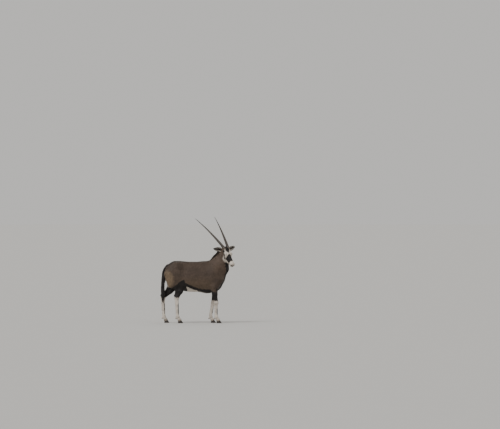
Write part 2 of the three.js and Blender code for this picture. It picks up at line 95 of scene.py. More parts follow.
# Floor and light
# A plain pale studio floor runs on to a horizon of its own brightness. One broad soft lamp high on the camera's left
# lights it evenly all the way, and two weak ones lift the shadows from the right and from behind.
FLOOR_SIZE = 1400.0
SPECKLE = 0.015  # how much lighter and darker the floor's fine speckle is
FLOOR_COLOUR = (0.58, 0.57, 0.55)
SKY = 0.62  # the brightness of the backdrop
LAMPS = {  # the way that the light goes, its spread in degrees and its share of the light on the floor
    "key": ((0.42, 0.62, -0.9), 24, 0.84),
    "fill": ((-0.7, 0.6, -0.45), 40, 0.06),
    "rim": ((-0.1, -0.9, -0.6), 30, 0.10),
}


def principled(name, **values):
    """A new material whose Principled BSDF has the named sockets set, with its node tree and shader."""
    material = bpy.data.materials.new(name)
    material.use_nodes = True
    shader = material.node_tree.nodes["Principled BSDF"]
    for socket, value in values.items():
        socket = shader.inputs[socket.replace("_", " ")]
        socket.default_value = (*value, 1.0) if isinstance(value, tuple) else value
    return material, material.node_tree, shader


def mesh_object(name, vertices, faces):
    """A smooth object of points and of faces, which are lists of the points' numbers."""
    mesh = bpy.data.meshes.new(name)
    mesh.from_pydata(np.asarray(vertices).tolist(), [], faces if isinstance(faces, list) else faces.tolist())
    mesh.polygons.foreach_set("use_smooth", np.ones(len(mesh.polygons), bool))
    made = bpy.data.objects.new(name, mesh)
    bpy.context.collection.objects.link(made)
    return made


half = FLOOR_SIZE / 2
floor = mesh_object("floor", [(-half, -half, 0), (half, -half, 0), (half, half, 0), (-half, half, 0)], [(0, 1, 2, 3)])
floor_material, floor_tree, floor_shader = principled("floor", Roughness=0.9, Specular_IOR_Level=0.0)
floor_speckle = floor_tree.nodes.new("ShaderNodeTexNoise")
floor_speckle.inputs["Scale"].default_value = 2500.0
floor_tint = floor_tree.nodes.new("ShaderNodeMix")
floor_tint.data_type = "RGBA"
floor_tint.inputs["A"].default_value = (*[(1 - SPECKLE) * c for c in FLOOR_COLOUR], 1.0)
floor_tint.inputs["B"].default_value = (*[(1 + SPECKLE) * c for c in FLOOR_COLOUR], 1.0)
floor_tree.links.new(floor_speckle.outputs["Fac"], floor_tint.inputs["Factor"])
floor_tree.links.new(floor_tint.outputs["Result"], floor_shader.inputs["Base Color"])
floor.data.materials.append(floor_material)
floor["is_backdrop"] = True

world = bpy.data.worlds.new("studio")
bpy.context.scene.world = world
world.use_nodes = True
backdrop = world.node_tree.nodes["Background"]
backdrop.inputs["Color"].default_value = (*[c / FLOOR_COLOUR[0] for c in FLOOR_COLOUR], 1)
backdrop.inputs["Strength"].default_value = SKY

for name, (way, spread, share) in LAMPS.items():
    data = bpy.data.lights.new(name, "SUN")
    data.angle = radians(spread)
    way = Vector(way).normalized()
    # Together the lamps make the lit floor as bright as the backdrop.
    data.energy = share * SKY * (1 / FLOOR_COLOUR[0] - 1) * pi / -way.z
    lamp = bpy.data.objects.new(name, data)
    lamp.rotation_euler = way.to_track_quat("-Z", "Y").to_euler()
    bpy.context.collection.objects.link(lamp)

# Flesh
# Under a short coat a gemsbok's skin lies tight over its muscles, joints and skull. The whole form is one distance
# field of blended balls and bones, in the body's own millimetres: x forwards, y to its left, z up.
WITHERS = 1200
BACK = 1190
CHEST_FLOOR = 590
BUTTOCK = -556
BRISKET = 585
BARREL = 210  # half the trunk's width
STIFLE = -262  # where the knee would be if the hind legs stood level
HOOF_TOP = 58
FORE_STEP = {-1: 30, 1: -85}  # how far forward each foot stands, the right one first
HIND_STEP = {-1: 165, 1: -110}


def mix(a, b, t):
    """The value at a share t of the way from a to b."""
    return a + (b - a) * t


def ease(x, low, high):
    """0 up to low and 1 from high on, with a smooth rise between."""
    t = np.clip((x - low) / (high - low), 0.0, 1.0)
    return t * t * (3 - 2 * t)


def oval(middle, half_sizes, pitch=0):
    """The distance from a ball with three half sizes, tipped nose down by pitch degrees."""
    turn_cos, turn_sin = cos(radians(pitch)), sin(radians(pitch))
    long, wide, high = half_sizes

    def form(p):
        dx, dy, dz = (p - middle).T
        x = (dx * turn_cos - dz * turn_sin) / long
        y = dy / wide
        z = (dx * turn_sin + dz * turn_cos) / high
        size = np.sqrt(x * x + y * y + z * z)
        slope = np.sqrt((x / long) ** 2 + (y / wide) ** 2 + (z / high) ** 2)
        return size * (size - 1) / np.maximum(slope, 1e-9)

    form.middle, form.reach = np.array(middle, float), 1.35 * max(half_sizes)
    return form


def bone(a, b, ra, rb):
    """The distance from the hull of two balls."""
    a, b = np.array(a, float), np.array(b, float)
    way = b - a
    long = (way @ way) ** 0.5
    slope = (ra - rb) / long
    lean = (1 - slope * slope) ** 0.5

    def form(p):
        pa = p - a
        along = pa @ way / long
        off = np.sqrt(np.maximum((pa * pa).sum(1) - along * along, 0))
        side = off * lean + along * slope
        foot = along * lean - off * slope
        start = np.sqrt(off * off + along * along) - ra
        end = np.sqrt(off * off + (along - long) ** 2) - rb
        return np.where(foot < 0, start, np.where(foot > long * lean, end, side - ra))

    form.middle, form.reach = (a + b) / 2, long / 2 + max(ra, rb)
    return form


def chain(*stops):
    """Bones from each place and radius to the next."""
    return [bone(a, b, ra, rb) for (a, ra), (b, rb) in zip(stops, stops[1:])]


def melt(a, b, k):
    """The nearer of two distances, rounded over where they differ by less than k."""
    h = np.maximum(k - np.abs(a - b), 0) / k
    return np.minimum(a, b) - h * h * k / 4


def blend(k, *forms):
    """Forms melted together. One that is too far from a point to change it is left out there."""
    low = np.min([f.middle - f.reach for f in forms], axis=0)
    high = np.max([f.middle + f.reach for f in forms], axis=0)
    clear = k + 30.0  # a little more than the distance over which forms melt

    def form(p):
        d = np.linalg.norm(p - np.clip(p, low, high), axis=1) + clear
        for other in forms:
            close = ((p - other.middle) ** 2).sum(1) < (other.reach + clear) ** 2
            if close.any():
                d[close] = melt(d[close], other(p[close]), k)
        return d

    form.middle, form.reach = (low + high) / 2, np.linalg.norm(high - low) / 2
    return form


def pair(make):
    """One part for the right side and one for the left."""
    return [make(-1), make(1)]


def knee_of(s):
    """How far forward the knee of the right (-1) or left (1) hind leg is."""
    return STIFLE + 0.45 * HIND_STEP[s]


# The head's own frame has x to the nose, y to its left and z out of the forehead, from between the horns. The head
# is tipped nose down, turned to the animal's right and leaned a little, in that order.
HEAD_AT = (664, -108, 1438)
HEAD_TURNS = ((-5, "Y"), (-61, "Z"), (47, "Y"))
lean, yaw, nod = [Matrix.Rotation(radians(degrees), 3, axis) for degrees, axis in HEAD_TURNS]
head_turn = np.array(lean @ yaw @ nod)


def from_head(*q):
    """The place on the body of one place in the head's frame."""
    return head_turn @ np.array(q, float) + HEAD_AT


def from_head_all(q):
    return q @ head_turn.T + HEAD_AT


def into_head(p):
    return (p - HEAD_AT) @ head_turn


def right_and_left(p):
    """The same places with both sides of the head folded on to its left."""
    return np.stack([p[:, 0], np.abs(p[:, 1]), p[:, 2]], 1)


SKULL_MELT = 24
skull = blend(
    SKULL_MELT,
    oval((-14, 0, -62), (78, 60, 66)),
    oval((40, 0, -52), (92, 72, 54)),
    *pair(lambda s: oval((76, s * 56, -36), (40, 24, 26))),
    *pair(lambda s: oval((92, s * 58, -62), (40, 20, 18))),
    bone((60, 0, -42), (322, 0, -68), 44, 32),
    bone((110, 0, -92), (322, 0, -86), 55, 37),
    oval((332, 0, -82), (32, 35, 33)),
    *pair(lambda s: oval((338, s * 20, -68), (27, 16, 21))),
    *pair(lambda s: bone((60, s * 42, -146), (210, s * 20, -134), 28, 22)),
    bone((205, 0, -134), (318, 0, -120), 27, 21),
    oval((326, 0, -114), (26, 27, 21)),
    *pair(lambda s: oval((84, s * 46, -104), (72, 27, 60))),
    *pair(lambda s: oval((36, s * 42, -136), (38, 24, 44))),
    oval((-6, 0, -112), (62, 50, 60)),
    *pair(lambda s: oval((-36, s * 52, -40), (28, 22, 28))),
    *pair(lambda s: bone((6, s * 33, -24), (-8, s * 36, 0), 34, 31)),
)
CREST = [  # places on the neck's axis and how thick it is there
    ((330, 0, 1085), 112),
    ((470, -2, 1215), 84),
    ((560, -14, 1325), 68),
    (from_head(-48, 0, -52), 58),
]
FLESH_MELT = 70
flesh = blend(
    FLESH_MELT,
    oval((10, 0, 890), (500, BARREL, 284)),
    oval((285, 0, (WITHERS + CHEST_FLOOR) / 2 - 12), (265, 178, (WITHERS - CHEST_FLOOR) / 2)),
    oval((-290, 0, 985), (235, 180, 216)),
    oval((-395, 0, 1015), (150, 132, 155)),
    bone((-340, 0, BACK - 84), (190, 0, BACK - 90), 96, 96),
    bone((150, 0, WITHERS - 92), (370, 0, WITHERS - 78), 66, 72),
    oval((BRISKET - 128, 0, 800), (125, 118, 165)),
    *pair(lambda s: oval((395, s * 105, 930), (120, 84, 235), 20)),
    *pair(lambda s: bone((BRISKET - 75, s * 105, 850), (430, s * 112, 722), 78, 68)),
    *pair(lambda s: oval((-345, s * 98, 885), (165, 84, 220), -12)),
    *pair(lambda s: bone((-350, s * 98, 900), (knee_of(s), s * 108, 778), 78, 62)),
    *pair(lambda s: bone((BUTTOCK + 66, s * 72, 960), (-425, s * 100, 760), 62, 62)),
    *pair(lambda s: oval((-300, s * 100, 1120), (75, 55, 58))),
    *chain(*CREST),
    *chain(((430, 0, 960), 165), ((540, -8, 1120), 118), ((600, -22, 1250), 92), (from_head(-20, 0, -92), 78)),
    *chain(((520, 0, 880), 108), ((612, -16, 1060), 76), (from_head(20, 0, -150), 58)),
)


LEG_MELT = 22


def middle_of(a, b, forward):
    """The place halfway between two, moved forward."""
    return ((a[0] + b[0]) / 2 + forward, (a[1] + b[1]) / 2, (a[2] + b[2]) / 2)


def foot(fetlock, coronet):
    """The fetlock, the pastern below it, the hoof's core and the pads of the two dew claws."""
    x, y, z = fetlock
    return [
        oval(fetlock, (30, 28, 33)),
        bone(fetlock, coronet, 23, 29),
        bone(coronet, (coronet[0], coronet[1], HOOF_TOP - 22), 30, 33),
        *pair(lambda s: oval((x - 30, y + s * 15, z - 26), (14, 11, 16))),
    ]


def cord_form(joint, fetlock, back):
    """The tendons down the back of the cannon bone."""
    return bone((joint[0] - back, joint[1], joint[2] - 20), (fetlock[0] - 20, fetlock[1], fetlock[2] + 30), 16, 13)


def foreleg(s):
    """One leg's form, the heights between which it sinks into the trunk, and its joints."""
    step = FORE_STEP[s]
    foot_y = s * STANCE / MM
    elbow, knee = (425, s * 108, 715), (440 + 0.55 * step, s * 110, 398)
    fetlock, coronet = (430 + step, foot_y, 122), (462 + step, foot_y, 62)
    form = blend(
        LEG_MELT,
        *chain(((430, s * 104, 830), 64), (elbow, 61), ((432, s * 110, 560), 44), (knee, 34)),
        *chain(((396, s * 108, 740), 46), ((406, s * 110, 600), 34), (knee, 28)),
        oval(knee, (37, 34, 50)),
        bone(knee, fetlock, 27, 22),
        cord_form(knee, fetlock, 22),
        *foot(fetlock, coronet),
    )
    return form, (735, 825), dict(joint=knee, fetlock=fetlock, coronet=coronet)


def hindleg(s):
    """A hind leg's form, heights and joints in the same way."""
    step = HIND_STEP[s]
    foot_y = s * STANCE / MM
    stifle, hock = (knee_of(s), s * 112, 745), (-478 + step, s * 108, 500)
    fetlock, coronet = (-463 + step, foot_y, 126), (-429 + step, foot_y, 62)
    ham, heel = (stifle[0] - 130, s * 106, 760), (hock[0] - 36, hock[1], hock[2] + 42)
    form = blend(
        LEG_MELT,
        bone((BUTTOCK + 205, s * 92, 930), stifle, 78, 62),
        bone((BUTTOCK + 80, s * 78, 900), ham, 54, 56),
        *chain((stifle, 62), (middle_of(stifle, hock, 0), 48), (hock, 32)),
        *chain((ham, 56), (middle_of(ham, hock, 6), 35), (heel, 16)),
        oval(hock, (40, 33, 50)),
        bone(hock, heel, 26, 18),
        bone(hock, fetlock, 30, 23),
        cord_form(hock, fetlock, 27),
        *foot(fetlock, coronet),
    )
    return form, (765, 870), dict(joint=hock, fetlock=fetlock, coronet=coronet)


SIDES = {"right": -1, "left": 1}
LEG_NAMES = {(kind, s): f"{kind}leg_{word}" for kind in ("fore", "hind") for word, s in SIDES.items()}
legs = {(kind, s): foreleg(s) if kind == "fore" else hindleg(s) for kind, s in LEG_NAMES}


def trunk_and_head(p):
    """The distance from the trunk, neck and head together."""
    q = into_head(p)
    on_head = ease(q[:, 0], -30, 50)
    return melt(flesh(p) + 6 * on_head, skull(q), mix(50.0, 12.0, on_head))


def body_form(p):
    """The distance from the whole body's plain outline."""
    d = trunk_and_head(p)
    for form, sinks, _ in legs.values():
        d = melt(d, form(p), mix(42.0, 2.0, ease(p[:, 2], *sinks)))
    return d


# Relief
# Over the plain outline stands what skin shows of the parts below it: the shoulder blade's ridge, the edges of the long
# muscles, sinews and veins, ribs, the fold of the flank, the lids, the nostrils and the lips.
COAT_DEPTH = 4.0
FACE_COAT_DEPTH = 1.5
EYE_RADIUS = 20.0
EYES = {s: np.array((82, s * 62.5, -45.0)) for s in (-1, 1)}


def along_line(p, stops):
    """How far each point is from a broken line, and the share of the line's length where it is nearest."""
    best = np.full(len(p), 1e9)
    share = np.zeros(len(p))
    lengths = np.linalg.norm(np.diff(stops, axis=0), axis=1)
    done = 0.0
    for a, b, long in zip(stops, stops[1:], lengths):
        t = np.clip((p - a) @ (b - a) / long**2, 0, 1)
        off = np.linalg.norm(p - a - t[:, None] * (b - a), axis=1)
        closer = off < best
        best = np.where(closer, off, best)
        share = np.where(closer, (done + t * long) / lengths.sum(), share)
        done += long
    return best, share


def stroke(p, stops, width, height, fade=0.2):
    """A raised or sunk line that fades at both of its ends."""
    stops = np.array(stops, float)
    edge = 2.5 * width
    close = ((p > stops.min(0) - edge) & (p < stops.max(0) + edge)).all(1)
    out = np.zeros(len(p))
    if close.any():
        off, share = along_line(p[close], stops)
        out[close] = height * np.exp(-((off / width) ** 2)) * ease(share, 0, fade) * ease(1 - share, 0, fade)
    return out


def body_relief(p):
    """How far the skin stands out over the plain outline on the trunk, neck and legs."""
    out = np.zeros(len(p))
    for s in (-1, 1):
        out += stroke(p, [(300, s * 100, 1165), (350, s * 150, 1050), (410, s * 178, 900), (450, s * 185, 800)], 20, 9)
        out += stroke(p, [(255, s * 150, 1080), (300, s * 175, 950), (350, s * 180, 830), (400, s * 170, 740)], 22, -11)
        out += stroke(p, [(330, s * 195, 870), (380, s * 190, 800), (420, s * 180, 735)], 26, 9)
        out += stroke(p, [(455, s * 150, 1060), (520, s * 150, 930), (560, s * 120, 830)], 20, -10)
        out += stroke(p, [(450, s * 90, 1150), (540, s * 90, 1060), (590, s * 70, 930)], 26, -10)
        out += stroke(p, [(560, s * 90, 1300), (560, s * 100, 1180), (520, s * 125, 1050)], 22, 6)
        knee = knee_of(s)
        hock = legs["hind", s][2]["joint"][0]
        out += stroke(p, [(-320, s * 140, 1150), (-262, s * 165, 1085), (-222, s * 170, 1030)], 24, 9)
        out += stroke(p, [(knee + 20, s * 195, 1030), (knee + 62, s * 205, 900), (knee + 75, s * 185, 800)], 28, -13)
        out += stroke(p, [(-425, s * 125, 1080), (-425, s * 170, 950), (knee - 150, s * 175, 800)], 17, -10)
        out += stroke(p, [(-485, s * 110, 1060), (-505, s * 120, 930), (-480, s * 130, 790)], 18, -6)
        out += stroke(p, [(-310, s * 195, 980), (knee - 10, s * 200, 860), (knee, s * 180, 750)], 26, 7)
        out += stroke(p, [(knee - 60, s * 165, 690), ((knee + hock) / 2, s * 150, 610), (hock + 10, s * 140, 555)], 12, -4)
        out += stroke(p, [(-205, s * 140, 1130), (-150, s * 165, 1085), (-110, s * 190, 1010)], 42, -9)
        for i in range(7):
            x = 195 - 52 * i
            low = 760 + 14 * i
            rib = [(x + 10, s * 150, 1060), (x - 5, s * 200, 930), (x + 10, s * 190, low)]
            out += stroke(p, rib, 13, 2.4, 0.4)
        for kind in ("fore", "hind"):
            spots = legs[kind, s][2]
            (jx, jy, jz), (fx, fy, fz) = spots["joint"], spots["fetlock"]
            back = 16 if kind == "fore" else 22
            for side in (-1, 1):
                cord = [(jx - back, jy + side * 20, jz - 40), (fx - 12, fy + side * 19, fz + 40)]
                out += stroke(p, cord, 5, -3.2)
            out += stroke(p, [(jx + 30, jy, jz - 45), (jx + 24, jy, jz - 110)], 9, 2)
        out += stroke(p, [(415, s * 150, 660), (425, s * 145, 560), (430, s * 140, 470)], 9, -3.5)
        out += stroke(p, [(452, s * 140, 660), (450, s * 140, 560), (445, s * 138, 460)], 10, -3)
    out += stroke(p, [(500, -4, 640), (350, 0, 600), (100, 0, 605)], 24, 3)
    out += stroke(p, [(-380, 0, 1185), (-100, 0, 1188), (200, 0, 1200)], 20, -3)
    return out


def head_relief(q):
    """The same on the head, in the head's own frame."""
    m = right_and_left(q)
    out = stroke(m, [(50, 60, -22), (78, 68, -20), (112, 62, -38)], 8, 4)
    out += stroke(m, [(112, 62, -66), (80, 72, -78), (46, 66, -66)], 9, -3)
    out += stroke(m, [(120, 55, -62), (160, 44, -76), (210, 38, -88)], 8, 3)
    out += stroke(m, [(130, 40, -45), (190, 34, -58), (250, 30, -64)], 10, -1.5)
    out += stroke(m, [(150, 36, -98), (200, 33, -104), (262, 30, -108)], 11, -3)
    out += stroke(m, [(40, 64, -150), (80, 60, -120), (110, 56, -84)], 14, -3)
    out += stroke(m, [(20, 50, -176), (70, 48, -168), (120, 40, -158)], 8, 2.5)
    out += stroke(m, [(270, 30, -98), (305, 30, -92), (340, 28, -92)], 7, 3)
    out += stroke(m, [(5, 14, -8), (60, 12, -2), (120, 8, -12)], 10, 2)
    return out


MOUTH = np.array([(256, 0, -121), (285, 0, -117), (315, 0, -113), (345, 0, -108), (380, 0, -106)], float)
NOSTRIL = np.array([(352, 34, -78), (360, 27, -66), (356, 20, -56)], float)
NOSTRIL_FACING = np.array((0.78, 0.62, 0.08))
EYE_LEAN = radians(14)  # the eye's front corner lies this much lower than its back one
EYE_LONG = 19.0  # half the opening's length
UPPER_ARCH = 11.5
LOWER_ARCH = 8.5


def almond(m):
    """The distance from the outline of the opening between the lids, seen from the side, negative inside."""
    x, z = m[:, 0] - EYES[1][0], m[:, 2] - EYES[1][2]
    u, v = x * cos(EYE_LEAN) - z * sin(EYE_LEAN), x * sin(EYE_LEAN) + z * cos(EYE_LEAN)
    upper, lower = [(EYE_LONG**2 + arch**2) / (2 * arch) for arch in (UPPER_ARCH, LOWER_ARCH)]
    return np.maximum(np.hypot(u, v - UPPER_ARCH + upper) - upper, np.hypot(u, v + LOWER_ARCH - lower) - lower)


def along_nostril(m):
    """The distance from the nostril's line, seen the way that it faces."""
    flat = np.eye(3) - np.outer(NOSTRIL_FACING, NOSTRIL_FACING)
    off, share = along_line(m @ flat, NOSTRIL @ flat)
    return off + 20 * (m @ NOSTRIL_FACING < 260), share


def openings(q, normals):
    """The steps that sink the mouth, the nostrils and the openings between the lids into a finished head."""
    m = right_and_left(q)
    off, share = along_line(q * (1, 0, 1), MOUTH)
    sink = mix(3.2, 5.5, share) * np.exp(-((off / 2.4) ** 2)) * ease(share, 0, 0.08)
    sink -= 1.6 * np.exp(-(((off - 6) / 4.5) ** 2)) * ease(share, 0, 0.1)
    off, share = along_nostril(m)
    wide = mix(4.6, 2.8, share)
    sink += 12.0 * ease(wide - off, -1.2, 1.6)
    sink -= 2.0 * np.exp(-(((off - wide - 2.5) / 2.6) ** 2))
    step = -sink[:, None] * normals
    out = q - np.where(q[:, 1:2] < 0, EYES[-1], EYES[1])
    ball = np.linalg.norm(out, axis=1)
    edge = almond(m)
    beside = (ball < 40) & (m[:, 1] > EYES[1][1])
    rim = 1.2 * np.exp(-(((edge - 2.0) / 1.7) ** 2))
    rim -= 1.6 * np.exp(-(((edge - 6.5) / 1.5) ** 2)) * (m[:, 2] > -47)
    into = np.maximum(ball - (EYE_RADIUS - 2.2), 0) * ease(-edge, -0.4, 1.6)
    return step + (out / ball[:, None]) * ((rim - into) * beside)[:, None]


def skin_distance_near(p):
    """The distance from the finished skin, for a few thousand places at once."""
    q = into_head(p)
    on_head = ease(q[:, 0], -20, 60)
    on_leg = ease(-p[:, 2], -640, -420)
    depth = mix(COAT_DEPTH, FACE_COAT_DEPTH, np.maximum(on_head, 0.8 * on_leg))
    d = body_form(p) + depth - body_relief(p) * (1 - on_head)
    head = np.linalg.norm(q - (150, 0, -80), axis=1) < 320
    lids = np.minimum(*[np.linalg.norm(q[head] - eye, axis=1) for eye in EYES.values()]) - (EYE_RADIUS + 3.2)
    d[head] = melt(d[head] - head_relief(q[head]) * on_head[head], lids, 9.0)
    return np.maximum(d, HOOF_TOP - 12 - p[:, 2])


def in_parts(measure, p):
    """Works a measure out for many points, a few thousand at a time on every core."""
    with ThreadPoolExecutor() as pool:
        return np.concatenate(list(pool.map(measure, np.array_split(p, len(p) // 4000 + 1))))


def skin_distance(p):
    """The distance from the finished skin. The coat's depth is kept clear inside the plain outline."""
    return in_parts(skin_distance_near, p)


# Skin
# The hide is made as a museum's modeller would: the rough body is covered evenly with small faces, which are then laid
# on to the finished form, finer on the head and finest round the eyes and muzzle.
SKIN_CELL = 7.0
SKIN_BOX = (-690, -340, 30), (860, 260, 1560)
FLESH_NODES = ["torso", "neck", "head"]
FLESH_NODES += [f"{leg}_{part}" for leg in LEG_NAMES.values() for part in ("upper", "lower")]


def vertices_of(mesh):
    """A mesh's vertices as places in the frame."""
    flat = np.empty(len(mesh.vertices) * 3)
    mesh.vertices.foreach_get("co", flat)
    return flat.reshape(-1, 3)


def into_body(world):
    return (world - shift) / MM


def into_world(body):
    return body * MM + shift


def ends_along(grid, axis):
    """A grid's values at the near and at the far end of every step along one axis."""
    return [grid.take(range(k, grid.shape[axis] - 1 + k), axis=axis) for k in (0, 1)]


def grid_points(*counts):
    """Every point of a grid as its numbers of steps along the axes."""
    return np.stack(np.meshgrid(*[np.arange(n) for n in counts], indexing="ij"), -1)


def net_of(measure, low, high, cell, coarse=4):
    """A mesh of even four-sided faces round the form inside which a measure is negative."""
    low = np.array(low, float)
    corners = grid_points(*(np.ceil((np.array(high) - low) / (cell * coarse)).astype(int) + 1))
    rough = in_parts(measure, corners.reshape(-1, 3) * cell * coarse + low).reshape(corners.shape[:3])
    # The measure is worked out on fine steps only near the form.
    fine = rough[:-1, :-1, :-1]
    least = np.abs(rough)
    for axis in range(3):
        fine = np.repeat(fine, coarse, axis=axis)
        least = np.minimum(*ends_along(least, axis))
    near = np.argwhere(least < 1.5 * cell * coarse)
    points = (near[:, None] * coarse + grid_points(*[coarse] * 3).reshape(-1, 3)).reshape(-1, 3)
    fine[tuple(points.T)] = in_parts(measure, points * cell + low)
    # Each cell with corners on both sides gets a vertex, and each step that crosses the surface a face.
    solid = fine < 0
    count = solid.astype(np.int8)
    for axis in range(3):
        count = np.add(*ends_along(count, axis))
    mixed = (count > 0) & (count < 8)
    number = np.full(mixed.shape, -1)
    number[mixed] = np.arange(mixed.sum())
    vertices = (np.argwhere(mixed) + 0.5) * cell + low
    faces = []
    for axis in range(3):
        a, b = ends_along(solid, axis)
        crossed = np.argwhere(a != b)
        u, v = np.eye(3, dtype=int)[(axis + 1) % 3], np.eye(3, dtype=int)[(axis + 2) % 3]
        ring = np.stack([number[tuple((crossed - back).T)] for back in (u + v, v, 0 * u, u)], 1)
        out = a[tuple(crossed.T)]
        faces.append(np.where(out[:, None], ring, ring[:, ::-1]))
    return vertices, np.concatenate(faces)


def finer(mesh, where):
    """Cuts the edges whose two ends pass a test in half."""
    work = bmesh.new()
    work.from_mesh(mesh)
    flags = where(into_body(vertices_of(mesh)))
    work.verts.ensure_lookup_table()
    edges = [e for e in work.edges if flags[e.verts[0].index] and flags[e.verts[1].index]]
    bmesh.ops.subdivide_edges(work, edges=edges, cuts=1, use_grid_fill=True)
    work.to_mesh(mesh)
    work.free()


def normals_of(mesh):
    mesh.update()
    flat = np.empty(len(mesh.vertices) * 3)
    mesh.vertices.foreach_get("normal", flat)
    return flat.reshape(-1, 3)


def lay_on(mesh, rounds, limit, where=None):
    """Moves the vertices that pass a test on to the finished form, along the mesh's own normals."""
    at = into_body(vertices_of(mesh))
    moved = np.ones(len(at), bool) if where is None else where(at)
    normals = normals_of(mesh)[moved]
    p = at[moved]
    for _ in range(rounds):
        p = p - np.clip(skin_distance(p), -limit, limit)[:, None] * normals
    at[moved] = p
    mesh.vertices.foreach_set("co", into_world(at).ravel())
    mesh.update()


def relax(mesh, rounds):
    """Moves every vertex towards the middle of its neighbours, which evens the faces out."""
    ends = np.empty(2 * len(mesh.edges), int)
    mesh.edges.foreach_get("vertices", ends)
    a, b = ends.reshape(-1, 2).T
    at = vertices_of(mesh)
    near = np.bincount(ends, minlength=len(at))[:, None]
    for _ in range(rounds):
        total = [np.bincount(a, at[b, i], len(at)) + np.bincount(b, at[a, i], len(at)) for i in range(3)]
        at = at / 2 + np.stack(total, 1) / near / 2
    mesh.vertices.foreach_set("co", at.ravel())
    mesh.update()


def on_face(p):
    """Where the face is, from the cheeks forwards."""
    q = into_head(p)
    return (np.linalg.norm(q - (150, 0, -80), axis=1) < 260) & (q[:, 0] > -20)


def on_eyes_or_muzzle(p, ball=34, muzzle=285):
    """Where the eyes and the muzzle are, within a distance round each eye."""
    q = right_and_left(into_head(p))
    return (np.linalg.norm(q - EYES[1], axis=1) < ball) | (q[:, 0] > muzzle)


def on_lids(p):
    """Where the lids, the nostrils and the lips are."""
    q = right_and_left(into_head(p))
    at_lids = (np.linalg.norm(q - EYES[1], axis=1) < 30) & (np.abs(almond(q)) < 5)
    return at_lids | (along_nostril(q)[0] < 9) | (along_line(q * (1, 0, 1), MOUTH)[0] < 4)


net, net_faces = net_of(skin_distance, *SKIN_BOX, SKIN_CELL)
skin = mesh_object("skin", into_world(net), net_faces)
skin_mesh = skin.data
relax(skin_mesh, 4)
lay_on(skin_mesh, 4, 8.0)
finer(skin_mesh, on_face)
lay_on(skin_mesh, 2, 5.0, on_face)
finer(skin_mesh, on_eyes_or_muzzle)
lay_on(skin_mesh, 2, 2.5, on_eyes_or_muzzle)
finer(skin_mesh, on_lids)
at = into_body(vertices_of(skin_mesh))
on = on_eyes_or_muzzle(at, 45, 240)
at[on] += openings(into_head(at[on]), normals_of(skin_mesh)[on] @ head_turn) @ head_turn.T
skin_mesh.vertices.foreach_set("co", into_world(at).ravel())
skin_mesh.update()

# Markings
# The coat is fawn grey, black and white in large clear fields. They are worked out from a place on the body alone, and
# skin and hair both take their colour from here.
def linear(*rgb):
    """A colour given as on a screen, from 0 to 255, as light."""
    c = np.array(rgb) / 255
    return np.where(c <= 0.04045, c / 12.92, ((c + 0.055) / 1.055) ** 2.4)


FAWN = linear(84, 70, 60)
NECK_FAWN = linear(94, 78, 66)
PALE = linear(126, 107, 86)
WHITE = linear(216, 206, 194)
BLACK = linear(29, 24, 22)
BROWN_BLACK = linear(46, 37, 32)
NOSE_PAD = linear(58, 49, 46)
NOSTRIL_EDGE = linear(38, 33, 32)


def waves(p, size, seed, count=9):
    """A smooth random value, mostly between -1 and 1, that changes over a size in millimetres."""
    draw = np.random.default_rng(seed)
    ways = draw.normal(size=(3, count))
    ways *= 2 * pi / size * draw.uniform(0.6, 1.5, count) / np.linalg.norm(ways, axis=0)
    return np.sin(p @ ways + draw.uniform(0, 2 * pi, count)).sum(1) / count**0.5


def below(x, edge, soft):
    """1 where a value is well below an edge and 0 well above it."""
    return ease(edge - x, -soft, soft)


def within(x, low, high, soft):
    """1 where a value is well between two edges and 0 well outside them."""
    return ease(x, low - soft, low + soft) * ease(-x, -high - soft, -high + soft)


def painted(colour, over, share):
    """Colours with another laid over them, which hides them by its share at each place."""
    return colour + (over - colour) * share[:, None]


def band(p, stops, widths, soft):
    """One near a broken line, as wide as given at evenly spaced shares of it, and nothing far from it."""
    off, share = along_line(p, np.array(stops, float))
    wide = np.interp(share, np.linspace(0, 1, len(widths)), widths)
    return ease(wide - off, -soft, soft)


def knee_beside(y):
    """How far forward the knee of the hind leg on a place's own side is."""
    return np.where(y < 0, knee_of(-1), knee_of(1))


def fold_of(y, z):
    """How far forward the fold of skin between belly and thigh stands at a height."""
    return knee_beside(y) + 28 - 0.28 * (z - 745).clip(-60, 300)


